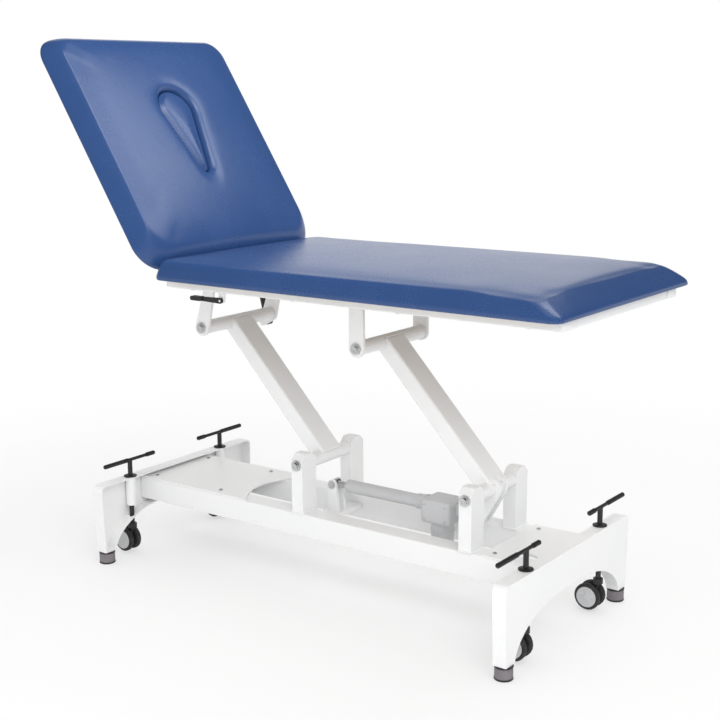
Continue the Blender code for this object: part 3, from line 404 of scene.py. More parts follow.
class Value:
    """A socket of a material, with arithmetic that adds Math nodes."""

    def __init__(self, tree, socket):
        self.tree = tree
        self.socket = socket

    def make(self, kind, settings=None, sockets=None, output=0):
        """Add a node with its settings and the values or links of its sockets, and give one output."""
        node = self.tree.nodes.new(kind)
        for key, value in (settings or {}).items():
            setattr(node, key, value)
        for key, value in (sockets or {}).items():
            if isinstance(value, Value):
                self.tree.links.new(value.socket, node.inputs[key])
            else:
                node.inputs[key].default_value = value
        return Value(self.tree, node.outputs[output])

    def math(self, operation, first, second):
        """Result of a Math node."""
        return self.make("ShaderNodeMath", {"operation": operation}, {0: first, 1: second})

    def __add__(self, other):
        return self.math("ADD", self, other)

    def __sub__(self, other):
        return self.math("SUBTRACT", self, other)

    def __mul__(self, other):
        return self.math("MULTIPLY", self, other)

    def __pow__(self, other):
        return self.math("POWER", self, other)

    __radd__ = __add__
    __rmul__ = __mul__

    def mix(self, low, high):
        """Colour between two colours by this value."""
        return self.make("ShaderNodeMix", {"data_type": "RGBA"}, {0: self, 6: low, 7: high}, 2)

    def ease(self, start, end):
        """This value as a soft step, from 0 at the start to 1 at the end."""
        sockets = {"Value": self, "From Min": start, "From Max": end}
        return self.make("ShaderNodeMapRange", {"interpolation_type": "SMOOTHSTEP"}, sockets)

    def noise(self, scale, detail=2.0):
        """Cloudy value between 0 and 1 at this place."""
        sockets = {"Vector": self, "Scale": scale, "Detail": detail, "Roughness": 0.55}
        return self.make("ShaderNodeTexNoise", None, sockets, "Fac")

    def cells(self, scale):
        """Distance to the nearest of scattered points."""
        return self.make("ShaderNodeTexVoronoi", None, {"Vector": self, "Scale": scale}, "Distance")

    def bump(self, strength, distance):
        """Normal that follows this height."""
        sockets = {"Height": self, "Strength": strength, "Distance": distance}
        return self.make("ShaderNodeBump", None, sockets)


class Finish:
    """A material with one Principled surface and object coordinates to start from."""

    def __init__(self, name):
        self.material = bpy.data.materials.new(name)
        self.material.use_nodes = True
        tree = self.material.node_tree
        self.surface = tree.nodes["Principled BSDF"]
        coordinates = tree.nodes.new("ShaderNodeTexCoord")
        self.place = Value(tree, coordinates.outputs["Object"])

    def set(self, **sockets):
        """Give sockets of the surface their values or links."""
        for key, value in sockets.items():
            socket = self.surface.inputs[key.replace("_", " ")]
            if isinstance(value, Value):
                self.place.tree.links.new(value.socket, socket)
            else:
                socket.default_value = value
        return self.material


def blue_vinyl():
    """Blue upholstery vinyl: a fine pebbled grain, faint cloudiness and a soft sheen."""
    made = Finish("blue_vinyl_cover")
    cloud = made.place.noise(5.0, 3.0)
    fine = made.place.noise(260.0, 2.0)
    shade = (0.75 * cloud + 0.25 * fine).mix((0.022, 0.060, 0.180, 1), (0.031, 0.077, 0.220, 1))
    grain = made.place.cells(1100.0) * 0.8 + made.place.noise(900.0, 1.0) * 0.4
    return made.set(
        Base_Color=shade,
        Roughness=0.20 + 0.10 * cloud + 0.04 * fine,
        Normal=grain.bump(0.18, 0.0004),
    )


def white_powder_coat():
    """White baked powder coat: faint orange peel and very slight toning."""
    made = Finish("white_powder_coat_paint")
    peel = made.place.noise(420.0, 2.0)
    tone = made.place.noise(3.0, 2.0)
    return made.set(
        Base_Color=tone.mix((0.85, 0.86, 0.865, 1), (0.895, 0.895, 0.89, 1)),
        Roughness=0.32 + 0.10 * peel,
        Normal=peel.bump(0.10, 0.0004),
    )


def base_board():
    """Sanded fibre board under the pads: brown with short fibres."""
    made = Finish("pad_base_board")
    fibre = made.place.noise(140.0, 4.0)
    tone = made.place.noise(9.0, 2.0)
    return made.set(
        Base_Color=(0.6 * fibre + 0.4 * tone).mix((0.16, 0.10, 0.06, 1), (0.36, 0.25, 0.15, 1)),
        Roughness=0.72 + 0.15 * fibre,
        Normal=fibre.bump(0.25, 0.0006),
    )


def grey_rubber():
    """Grey moulded rubber of the feet, dull with a dusty mottle."""
    made = Finish("grey_foot_rubber")
    dust = made.place.noise(60.0, 3.0)
    return made.set(
        Base_Color=dust.mix((0.165, 0.150, 0.162, 1), (0.250, 0.232, 0.245, 1)),
        Roughness=0.62 + 0.2 * dust,
        Normal=made.place.noise(700.0, 1.0).bump(0.15, 0.0004),
    )


def black_plastic():
    """Black moulded plastic with a fine texture."""
    made = Finish("black_moulded_plastic")
    spark = made.place.noise(900.0, 1.0)
    tone = made.place.noise(30.0, 2.0)
    return made.set(
        Base_Color=tone.mix((0.010, 0.010, 0.011, 1), (0.024, 0.024, 0.026, 1)),
        Roughness=0.40 + 0.15 * spark,
        Normal=spark.bump(0.12, 0.0003),
    )


def castor_tyre():
    """Dark grey castor tread, scuffed lighter in patches."""
    made = Finish("castor_tread")
    scuff = made.place.noise(90.0, 4.0)
    return made.set(
        Base_Color=(scuff ** 2.0).mix((0.012, 0.012, 0.013, 1), (0.075, 0.073, 0.072, 1)),
        Roughness=0.55 + 0.25 * scuff,
        Normal=scuff.bump(0.1, 0.0004),
    )


def bright_steel():
    """Bright turned steel with fine rings of tool marks."""
    made = Finish("bright_turned_steel")
    marks = made.place.noise(600.0, 1.0)
    tone = made.place.noise(20.0, 2.0)
    return made.set(
        Base_Color=tone.mix((0.56, 0.57, 0.58, 1), (0.70, 0.70, 0.70, 1)),
        Metallic=1.0,
        Roughness=0.22 + 0.16 * marks,
        Normal=marks.bump(0.05, 0.0002),
    )


def actuator_casing():
    """Light grey moulded casing of the lift drive."""
    made = Finish("drive_casing_plastic")
    tone = made.place.noise(12.0, 2.0)
    spark = made.place.noise(800.0, 1.0)
    return made.set(
        Base_Color=tone.mix((0.50, 0.51, 0.52, 1), (0.60, 0.60, 0.61, 1)),
        Roughness=0.42 + 0.12 * spark,
        Normal=spark.bump(0.12, 0.0003),
    )


FINISH = {
    "blue_vinyl": blue_vinyl(),
    "white_powder_coat": white_powder_coat(),
    "base_board": base_board(),
    "grey_rubber": grey_rubber(),
    "black_plastic": black_plastic(),
    "castor_tyre": castor_tyre(),
    "bright_steel": bright_steel(),
    "actuator_casing": actuator_casing(),
}
for node in frame["nodes"].values():
    for place, old in enumerate(node.data.materials):
        name = old.name.split(".")[0]
        if name in FINISH:
            node.data.materials[place] = FINISH[name]
        else:
            print("no finish for", node.name, old.name)


# ---------------------------------------------------------------- upholstery

def hem(margin):
    """Insets of a cover's rows before its side: up and down the pocket's wall, then round the hem."""
    return np.array([margin, margin, 0.004, 0.001])


def seat_pad():
    """Seat cover: rings of a rounded rectangle go out of the board's pocket, round the hem and up the
    sides, drawn in as a quarter ellipse along the sides and as a straight slope over a small nose at the
    foot end. The top is a Coons patch over the last ring, raised by the product of two arches, each one
    minus a power of the way from the middle. Heights then shrink towards the foot corners by a soft step
    along times a cube across, more on the near side."""
    count_x, count_y, arc = 84, 48, 4
    code = rounded_ring(count_x, count_y, arc)
    roll = rolled(SIDE_UP, PAD_EDGE)
    side = PAD_SIDE_IN * roll
    knee = np.append(SIDE_UP, 0.0) - SEAT_NOSE
    knee = knee + np.hypot(knee, SEAT_NOSE_ROUND)
    knee = (knee - knee[-1])[:-1] / (knee[-2] - knee[-1])
    foot = SEAT_FOOT_IN * (SEAT_SLOPE * knee + (1 - SEAT_SLOPE) * roll)
    low = np.concatenate([hem(BOARD_MARGIN), SEAT_HEAD_IN * roll])
    high = SEAT_L + SEAT_OUT * OUTSIDE - np.concatenate([hem(BOARD_FOOT_MARGIN), foot])
    half = SEAT_HALF - np.concatenate([hem(BOARD_MARGIN), side])
    corner = np.concatenate([[SEAT_POCKET_CORNER] * 2, [SEAT_CORNER] * 2, SEAT_CORNER + 0.5 * side])
    rings = lift(ring_points(code, low, high, half, corner, corner), COVER_UP)
    layers, around = rings.shape[:2]
    across, deep = count_x + 2 * arc, count_y + 2 * arc
    inside = (across - 1) * (deep - 1)

    def patch(ring):
        """Coons patch inside one ring, and the shares of the way across it."""
        walk = np.concatenate([ring, ring[:1]])
        south, east = walk[:across + 1], walk[across:across + deep + 1]
        north = walk[across + deep:2 * across + deep + 1][::-1]
        west = walk[2 * across + deep:][::-1]
        u = (south[:, 0] - south[0, 0]) / (south[-1, 0] - south[0, 0])
        v = (west[:, 1] - west[0, 1]) / (west[-1, 1] - west[0, 1])
        a, b = u[:, None, None], v[None, :, None]
        flat = (1 - b) * south[:, None] + b * north[:, None] + (1 - a) * west[None] + a * east[None]
        flat = flat - (1 - a) * (1 - b) * south[0] - a * (1 - b) * south[-1]
        flat = flat - (1 - a) * b * north[0] - a * b * north[-1]
        return flat, a[..., 0], b[..., 0]

    def table(start, offset):
        """Point numbers of a patch whose edge is a ring of the sides."""
        walk = start + np.append(np.arange(around), 0)
        index = np.zeros((across + 1, deep + 1), int)
        index[:, 0] = walk[:across + 1]
        index[-1, :] = walk[across:across + deep + 1]
        index[:, -1] = walk[across + deep:2 * across + deep + 1][::-1]
        index[0, :] = walk[2 * across + deep:][::-1]
        index[1:-1, 1:-1] = offset + np.arange(inside).reshape(across - 1, deep - 1)
        return index

    top, u, v = patch(rings[-1])
    top[..., 2] += PAD_CROWN * (1 - np.abs(2 * u - 1) ** 3) * (1 - np.abs(2 * v - 1) ** 2.4)
    under = patch(rings[0])[0]
    points = np.concatenate([rings.reshape(-1, 3), top[1:-1, 1:-1].reshape(-1, 3),
                             under[1:-1, 1:-1].reshape(-1, 3)])
    droop = np.clip((points[:, 0] - SEAT_L + SEAT_DROOP_FROM) / SEAT_DROOP_L, 0, 1)
    droop = droop * droop * (3 - 2 * droop) * np.clip(np.abs(points[:, 1]) / SEAT_HALF, 0, 1) ** 3
    droop[layers * around + inside:] = 0.0
    droop[:len(HEM_UP) * around] = 0.0
    points[:, 2] = points[:, 2] * (1 - np.where(points[:, 1] < 0, *SEAT_DROOP) * droop)
    sides = closed(np.arange(layers * around).reshape(layers, around))
    faces = np.concatenate([
        grid_faces(sides.T),
        grid_faces(table((layers - 1) * around, layers * around)),
        grid_faces(table(0, layers * around + inside).T),
    ])
    cover = skin("seat_cover", seat_place(points), faces, FINISH["blue_vinyl"], "top_frame")
    inflate(cover, points[:, 2] < STAPLED_UP_TO, SEAT_CALM)
    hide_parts("seat_cushion")
    return refine(cover)


def hole_outline(turn, grow):
    """Ring of the breathing hole's outline, two circles with their common tangents, grown by a distance:
    its distance from the hole's middle is looked up at each turn."""
    angle = np.linspace(0, 2 * math.pi, 721)[:-1]
    lean = (HOLE_WIDE[1] - HOLE_NARROW[1]) / (HOLE_NARROW[0] - HOLE_WIDE[0])
    narrow = np.cos(angle) > lean
    at = np.where(narrow, HOLE_NARROW[0], HOLE_WIDE[0])
    size = np.where(narrow, HOLE_NARROW[1], HOLE_WIDE[1]) + grow
    x = at + size * np.cos(angle) - HOLE_CENTRE
    y = size * np.sin(angle)
    fine = np.linspace(0, 1, 96, endpoint=False)[:, None]
    x = ((1 - fine) * x + fine * np.roll(x, -1)).T.ravel()
    y = ((1 - fine) * y + fine * np.roll(y, -1)).T.ravel()
    around = np.arctan2(y, x)
    order = np.argsort(around)
    reach = np.interp(turn, around[order], np.hypot(x, y)[order], period=2 * math.pi)
    return np.stack([HOLE_CENTRE + reach * np.cos(turn), reach * np.sin(turn)], axis=-1)


def back_pad():
    """Backrest cover: a closed tube of rings. They go from the breathing hole out under the pad, round the
    hem, up the drawn-in sides, inwards over the crowned top, down the rim, a quarter of an ellipse, and
    through the hole as its lining, whose foot turns back up inside the board."""
    code = rounded_ring(52, 50, 12)
    side = BACK_BEVEL * sloped(SIDE_UP, PAD_EDGE, BACK_SIDE_SLOPE)
    top_in = BACK_TOP_IN * sloped(SIDE_UP, PAD_EDGE, BACK_TOP_SLOPE)
    low_in = BACK_LOW_IN * rolled(SIDE_UP, PAD_EDGE)
    low = BACK_TO - BACK_OUT * OUTSIDE + np.concatenate([hem(BOARD_MARGIN), top_in])
    high = BACK_FROM - np.concatenate([hem(BOARD_FOOT_MARGIN), low_in])
    half = SEAT_HALF + BACK_OUT * OUTSIDE - np.concatenate([hem(BOARD_MARGIN), side])
    pocket = [BACK_POCKET_CORNER] * 2
    corner = np.concatenate([pocket, [BACK_CORNER] * 2, BACK_CORNER - 0.3 * side])
    corner_low = np.concatenate([pocket, [BACK_LOW_CORNER] * 2, BACK_LOW_CORNER - 0.1 * side])
    outer = lift(ring_points(code, low, high, half, corner, corner_low), COVER_UP)
    edge = outer[-1]
    turn = np.arctan2(edge[:, 1], edge[:, 0] - HOLE_CENTRE)
    wide_roll, deep_roll = HOLE_ROLL
    rim = hole_outline(turn, wide_roll - HOLE_LINING)
    step = np.linspace(0, 1, 30)[1:, None, None]
    step = 1 - (1 - step) ** 1.25
    inward = (1 - step) * edge[None, :, :2] + step * rim[None]
    x = (inward[..., 0] - low[-1]) / (high[-1] - low[-1])
    y = (inward[..., 1] + half[-1]) / (2 * half[-1])
    crown = (1 - np.abs(2 * x - 1) ** 2.6) * (1 - np.abs(2 * y - 1) ** 2.4)
    crown = PAD_EDGE + PAD_CROWN * np.clip(crown, 0, 1)
    top = np.concatenate([inward, crown[..., None]], axis=-1)
    bend = np.linspace(0, 0.5, 8)[1:] * math.pi
    lip = np.stack([hole_outline(turn, wide_roll * (1 - math.sin(b)) - HOLE_LINING) for b in bend])
    drop = top[-1, :, 2] - deep_roll * (1 - np.cos(bend))[:, None]
    lip = np.concatenate([lip, drop[..., None]], axis=-1)
    wall = np.repeat(lip[-1:], 4, axis=0)
    share = np.linspace(0, 1, 5)[1:, None]
    wall[..., 2] = (1 - share) * lip[-1, :, 2] + share * HOLE_LINING_FOOT
    turned = np.stack([hole_outline(turn, -HOLE_FOOT_IN)] * 2)
    turned = lift(turned, [HOLE_LINING_FOOT, BOARD_T + POCKET_GAP])
    rings = np.concatenate([outer, top, lip, wall, turned])
    points, faces = loop(rings - np.array([0, 0, BACK_SINK]))
    cover = skin("backrest_cover", back_place(points), faces, FINISH["blue_vinyl"],
                 "backrest")
    row = np.arange(len(rings))[:, None]
    first = len(rings) - len(lip) - len(wall) - len(turned)
    pinned = (rings[..., 2] < STAPLED_UP_TO) | (row >= first) | (row < len(HEM_UP) - 1)
    inflate(cover, pinned.ravel(), BACK_CALM)
    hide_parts("backrest_cushion")
    return refine(cover)


def plug():
    """Breathing-hole plug: rings of the hole's outline go up its wall and over a bevel of rounded edges,
    then shrink over a dome that rises as a flat parabola to the middle."""
    turn = np.linspace(-math.pi, math.pi, 161)[:-1]
    wall = np.array([(0.0015, 0.0), (0.0, 0.0015), (0.0, 0.012), (0.0, 0.030)])
    bevel = np.array([(0.0, 0.0135), (0.0006, 0.0110), (0.0020, 0.0090), (0.0040, 0.0074), (0.0080, 0.0048),
                      (0.0120, 0.0023), (0.0145, 0.0010), (0.0160, 0.0004)])
    shrink = HOLE_LINING + PLUG_GAP + np.concatenate([wall[:, 0], bevel[:, 0]])
    up = np.concatenate([wall[:, 1], PLUG_TOP - bevel[:, 1]])
    rings = lift(np.stack([hole_outline(turn, -inset) for inset in shrink]), up)
    inner = np.linspace(1, 0.06, 12)[1:, None]
    middle = np.array([HOLE_CENTRE, 0.0])
    dome = middle + inner[..., None] * (rings[-1, :, :2] - middle)
    rise = np.broadcast_to(PLUG_TOP + PLUG_DOME * (1 - inner ** 2), dome.shape[:2])
    rings = np.concatenate([rings, np.concatenate([dome, rise[..., None]], axis=-1)])
    points, faces = stack(rings - np.array([0, 0, BACK_SINK]))
    cover = skin("breathing_hole_plug_cover", back_place(points), faces, FINISH["blue_vinyl"],
                 "breathing_hole_plug")
    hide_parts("breathing_hole_plug")
    return refine(cover)


seat_pad()
back_pad()
plug()


# ---------------------------------------------------------------- small hardware

def hex_bolt(size, high):
    """Hexagon head on a washer: flat sides, a chamfer that turns into a circle, a slightly hollow top."""
    return stack(spun([(1.32 * size, -0.0004, 0), (1.36 * size, 0.0004, 0), (1.34 * size, 0.0014, 0),
                       (0.99 * size, 0.0016, 0.9), (size, 0.0020, 1), (size, high - 0.0014, 1),
                       (0.87 * size, high, 0.2), (0.55 * size, high, 0), (0.50 * size, high - 0.0006, 0),
                       (0.08 * size, high - 0.0007, 0)], 48))


def pan_screw(size):
    """Low round head: a flat dome with a hexagon socket sunk into it."""
    return stack(spun([(0.98 * size, -0.0004, 0), (size, 0.0004, 0), (0.93 * size, 0.36 * size, 0),
                       (0.72 * size, 0.52 * size, 0), (0.50 * size, 0.56 * size, 0.4),
                       (0.46 * size, 0.54 * size, 1), (0.45 * size, 0.20 * size, 1),
                       (0.05 * size, 0.18 * size, 0)], 48))


def end_plug(width, high):
    """Moulded plug on the end of a box tube: rounded rectangles that step out of the tube and round off."""
    code = rounded_ring(6, 4, 3)
    draw = np.array([0.0008, 0.0, 0.0, 0.0006, 0.0022])
    wide = (width - END_PLUG_IN) / 2 - draw
    corner = np.full(len(draw), END_PLUG_CORNER)
    rings = ring_points(code, -wide, wide, (high - END_PLUG_IN) / 2 - draw, corner, corner)
    return stack(lift(rings, [-0.0006, -0.0004, 0.0012, 0.0022, 0.0028]))


def hub_cap(size):
    """Disc on a castor wheel: a raised lip, five shallow spokes as a power of a cosine, and a boss."""
    radius = size * np.array([100, 100, 96, 90, 86, 80, 62, 45, 34, 30, 22, 16, 12, 3]) / 100
    height = np.array([-12, 6, 13, 13, 5, 2, 1, 1, 3, 15, 18, 18, 11, 11]) * 1e-4
    spoke = np.array([0, 0, 0, 0, 3, 9, 10, 10, 7, 0, 0, 0, 0, 0]) * 1e-4
    turn = np.arange(60) * math.pi / 30
    rise = height[:, None] + spoke[:, None] * np.abs(np.cos(2.5 * turn)) ** 6
    flat = radius[:, None]
    return stack(np.stack([flat * np.cos(turn), flat * np.sin(turn), rise], axis=-1))


def ribbed_sleeve(length, size):
    """Grip on a pedal bar: a round whose grooves are the eighth power of a sine, with a domed end."""
    way = np.linspace(0.0, 1.0, 97)
    grooves = 1 - 0.14 * np.sin(way * math.pi * round(length / GROOVE_L)) ** 8
    round_off = np.clip((1 - way) * length / (0.8 * size), 0.0, 1.0)
    radius = size * grooves * np.sqrt(np.maximum(1 - (1 - round_off) ** 2, 0.01))
    return stack(spun(np.stack([radius, way * length, 0 * way], axis=1), 24))


def foot_bands():
    """Dark lips round a rubber foot, at its top and at its tread: closed profiles turned about +Z."""
    lip = [(0.0200, 0.0316, 0), (0.0229, 0.0310, 0), (0.0236, 0.0322, 0),
           (0.0234, 0.0348, 0), (0.0222, 0.0356, 0), (0.0200, 0.0356, 0)]
    tread = [(0.0205, 0.0008, 0), (0.0222, 0.0006, 0), (0.0233, 0.0018, 0),
             (0.0234, 0.0040, 0), (0.0227, 0.0052, 0), (0.0205, 0.0052, 0)]
    return together([loop(spun(profile, 48)) for profile in (lip, tread)])


def joint_place(name):
    """Place of a joint."""
    return np.array(JOINT[name]["pos_m"], float)


def castor_details():
    """Hub discs on the wheels, grips on the pedals and lips round the feet."""
    for corner in CORNERS:
        centre = joint_place("castor_" + corner + "_roll")
        discs = []
        for side in (-1, 1):
            discs.append(stand(hub_cap(HUB_DISC), centre + [0, side * WHEEL_FACE, 0], (0, side, 0)))
        hard("castor_hub_discs_" + corner, discs, "actuator_casing", "castor_wheels_" + corner)
        low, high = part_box("castor_pedal_" + corner)
        x, z = (low.x + high.x) / 2, high.z - PEDAL_R
        outward = -1 if corner.endswith("right") else 1
        ends = {-1: low.y, 1: high.y}
        grips = []
        for side, length in ((outward, GRIP_LONG), (-outward, GRIP_SHORT)):
            start = [x, ends[side] - side * (length - GRIP_BEYOND), z]
            grips.append(stand(ribbed_sleeve(length, GRIP_R), start, (0, side, 0)))
        hard("pedal_grips_" + corner, grips, "black_plastic", "castor_pedal_" + corner)
        low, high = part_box("rubber_foot_" + corner)
        place = [(low.x + high.x) / 2, (low.y + high.y) / 2, 0.0]
        hard("rubber_foot_lips_" + corner, [stand(foot_bands(), place, (0, 0, 1))], "black_plastic", "base")


def post_welds():
    """Weld beads round the feet of the four lift posts."""
    beads = []
    code = rounded_ring(70, 110, 8)
    for end in ("head", "foot"):
        for label in ("left", "right"):
            low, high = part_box("lift_post_" + end + "_" + label)
            half = (high.y - low.y) / 2 + POST_WELD_OUT
            ends = [low.x - POST_WELD_OUT], [high.x + POST_WELD_OUT]
            ring = ring_points(code, *ends, [half], [POST_WELD_CORNER], [POST_WELD_CORNER])[0]
            ring = ring + [0.0, (high.y + low.y) / 2]
            path = np.column_stack([ring, np.full(len(ring), low.z + POST_WELD_OUT)])
            beads.append(bead(path, POST_WELD, True))
    hard("post_weld_beads", beads, "white_powder_coat", "base")


def arm_welds():
    """Weld beads where each lift arm meets its cross tubes: half rounds at its sides, lines across it."""
    along = np.array([-math.cos(ARM_REST), 0.0, math.sin(ARM_REST)])
    normal = np.array([math.sin(ARM_REST), 0.0, math.cos(ARM_REST)])
    turn = np.radians(np.linspace(-88.0, 88.0, 150))[:, None]
    way = np.linspace(-ARM_HALF + ARM_LINE_WELD_IN, ARM_HALF - ARM_LINE_WELD_IN, 180)[:, None]
    for name, joint in (("lift_arm_foot", "lift"), ("lift_arm_head", "lift_head_arm")):
        low = joint_place(joint)
        beads = []
        for place, inward in ((low, along), (low + ARM_L * along, -along)):
            for side in (-1, 1):
                arc = np.cos(turn) * inward + np.sin(turn) * normal
                beside = [0.0, side * (ARM_HALF + ARM_SIDE_WELD_OUT), 0.0]
                arc = place + (ARM_TUBE_R + ARM_SIDE_WELD_OUT) * arc + beside
                beads.append(bead(arc, ARM_SIDE_WELD))
                line = place + side * (ARM_TUBE_R + ARM_LINE_WELD_OUT) * normal + way * [0.0, 1.0, 0.0]
                beads.append(bead(line - ARM_LINE_WELD_OUT * inward, ARM_LINE_WELD))
        hard(name + "_weld_beads", beads, "white_powder_coat", name)


def hanger_welds():
    """Weld beads along both faces of the hanger plates, under the cross tubes."""
    tube_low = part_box("top_cross_foot")[0].z
    way = np.linspace(-HANGER_WELD_HALF, HANGER_WELD_HALF, 64)[:, None] * [1.0, 0.0, 0.0]
    beads = []
    for x in (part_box("seat_cushion")[0].x + CROSS_HEAD_X, joint_place("top_frame_level")[0]):
        for y in (-HANGER_Y, HANGER_Y):
            for face in (-HANGER_T / 2, HANGER_T / 2):
                beads.append(bead(np.array([x, y + face, tube_low]) + way, HANGER_WELD))
    hard("hanger_weld_beads", beads, "white_powder_coat", "top_frame")


def pivot_nuts():
    """Hexagon nuts on the ends of the four pivot shafts."""
    for body, names in (("base", ("lift_shaft_head", "lift_shaft_foot")),
                        ("top_frame", ("top_shaft_head", "top_shaft_middle"))):
        nuts = []
        for name in names:
            low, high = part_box(name)
            x, z = (low.x + high.x) / 2, (low.z + high.z) / 2
            nuts += [stand(hex_bolt(*NUT), (x, y, z), (0, y, 0)) for y in (low.y, high.y)]
        hard(body + "_pivot_nuts", nuts, "bright_steel", body)


def tube_plugs():
    """Plugs in the ends of the top rails and of the backrest's tubes."""
    plugs = []
    for label in ("left", "right"):
        low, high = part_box("top_rail_" + label)
        y = (low.y + high.y) / 2
        z = high.z - TUBE_H / 2
        width = high.y - low.y
        for x, way in ((low.x, -1), (high.x, 1)):
            points, quads = end_plug(width, TUBE_H)
            across, up, out = points.T
            plugs.append((np.stack([x + way * out, y + way * across, z + up], axis=1), quads))
    hard("top_rail_end_plugs", plugs, "white_powder_coat", "top_frame")
    plugs = []
    for side in (-1, 1):
        points, quads = end_plug(BACK_TUBE_W, TUBE_H)
        across, up, out = points.T
        place = [BACK_TUBE_END, side * BACK_TUBE_Y, -TUBE_H / 2 - BACK_SINK - BACK_TUBE_GAP]
        plugs.append((back_place(np.stack([-out, -across, up], axis=1) + place), quads))
    hard("backrest_tube_end_plugs", plugs, "white_powder_coat", "backrest")


def board_bolts():
    """Bolts that hold the boards of the seat and the backrest to their tubes."""
    low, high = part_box("top_rail_left")
    bolts = []
    for share in SEAT_BOLT_SHARES:
        x = low.x + share * (high.x - low.x)
        for side in (-1, 1):
            spot = (x, side * (low.y + high.y) / 2, high.z - TUBE_H)
            bolts.append(stand(hex_bolt(*BOARD_BOLT), spot, (0, 0, -1)))
    hard("seat_board_bolts", bolts, "bright_steel", "top_frame")
    bolts = []
    for x in BACK_BOLTS_X:
        for side in (-1, 1):
            spot = (x, side * BACK_TUBE_Y, -TUBE_H - BACK_SINK - BACK_TUBE_GAP)
            points, quads = stand(hex_bolt(*BOARD_BOLT), spot, (0, 0, -1))
            bolts.append((back_place(points), quads))
    hard("backrest_board_bolts", bolts, "bright_steel", "backrest")


def deck_screws():
    """Screws of the two decks into the chassis rails."""
    screws = []
    for deck, spots in DECK_SCREWS_X.items():
        low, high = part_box(deck)
        for x in spots:
            for y in (-DECK_SCREWS_Y, DECK_SCREWS_Y):
                screws.append(stand(pan_screw(DECK_SCREW), (low.x + x, y, high.z), (0, 0, 1)))
    hard("deck_screws", screws, "bright_steel", "base")


def drive_details():
    """Collar, screws and motor rings of the lift drive."""
    x0, x1 = DRIVE_X[0] - MIDDLE_X, DRIVE_X[1] - MIDDLE_X
    middle = (x0 + x1) / 2
    r = DRIVE_TUBE_R
    collar = spun([(r - 0.001, -0.0340, 0), (r + 0.0016, -0.0336, 0), (r + 0.0024, -0.0300, 0),
                   (r + 0.0024, -0.0240, 0), (r + 0.0012, -0.0232, 0), (r + 0.0012, -0.0212, 0),
                   (r + 0.0026, -0.0204, 0), (r + 0.0052, -0.0020, 0), (r + 0.0052, 0.0010, 0)], 40)
    shapes = [stand(stack(collar), (x0, 0.0, DRIVE_AXIS_Z), (1, 0, 0))]
    for x in (x0 + CASE_SCREW_IN, x1 - CASE_SCREW_IN):
        for z in (DRIVE_Z[0] + CASE_SCREW_IN, DRIVE_Z[1] - CASE_SCREW_IN):
            for side in (-1, 1):
                shapes.append(stand(pan_screw(CASE_SCREW), (x, side * DRIVE_HALF, z), (0, side, 0)))
    r = MOTOR_R
    ring = spun([(r - 0.002, -0.003, 0), (r + 0.0010, -0.0026, 0), (r + 0.0014, 0.0, 0),
                 (r + 0.0010, 0.0026, 0), (r - 0.002, 0.003, 0)], 48)
    for up in MOTOR_RINGS_UP:
        shapes.append(stand(loop(ring), (middle, 0.0, MOTOR_Z + up), (0, 0, 1)))
    hard("lift_drive_fittings", shapes, "actuator_casing", "actuator")


def control_box_details():
    """Lid seam and screws of the control box."""
    low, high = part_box("control_box")
    code = rounded_ring(40, 34, 6)
    inset = np.array([0.0002, -0.0006, -0.0006, 0.0002])
    corner = np.full(len(inset), LID_CORNER)
    rings = ring_points(code, low.x + inset, high.x - inset, high.y - inset, corner, corner)
    z = low.z + LID_UP + np.array([0.0, 0.0004, 0.0016, 0.0020])
    shapes = [stack(lift(rings, z))]
    for x in (low.x + CASE_SCREW_IN, high.x - CASE_SCREW_IN):
        for y in (low.y + CASE_SCREW_IN, high.y - CASE_SCREW_IN):
            shapes.append(stand(pan_screw(CASE_SCREW), (x, y, low.z), (0, 0, -1)))
    hard("control_box_lid_fittings", shapes, "black_plastic", "base")


def spring_collar():
    """Seal collar at the mouth of the gas spring: a closed profile turned about its rod."""
    start, end = joint_place("gas_spring_cylinder_swing"), joint_place("gas_spring_rod_swing")
    along = (end - start) / np.linalg.norm(end - start)
    profile = [(0.0062, -0.004, 0), (SPRING_R + 0.0004, -0.004, 0), (SPRING_R + 0.0008, -0.002, 0),
               (SPRING_R + 0.0004, 0.001, 0), (0.0088, 0.004, 0), (0.0062, 0.004, 0)]
    shape = stand(loop(spun(profile, 40)), start + SPRING_L * along, along)
    hard("gas_spring_collar", [shape], "bright_steel", "gas_spring_cylinder")


castor_details()
post_welds()
arm_welds()
hanger_welds()
pivot_nuts()
tube_plugs()
board_bolts()
deck_screws()
drive_details()
control_box_details()
spring_collar()


# ---------------------------------------------------------------- floor, light and camera

# Floor: its half size, how far it lies below the feet, its least share of white and the fade's reach
FLOOR_HALF = 30.0
FLOOR_GAP = 0.0005
FADE_LEAST = 0.55
FADE_REACH = (0.6, 2.8)

# Surroundings: their light, the darkest that they look in a reflection, and where they look white: on a
# screen, by the cosine to its middle and the sine of the height, and low down
AMBIENT = 0.80
DARKEST = 0.05
SCREEN_TURN = math.radians(130)
SCREEN_SIDES = (0.90, 0.975)
SCREEN_TOP = (0.85, 0.60)
WHITE_LOW = (0.22, 0.06)


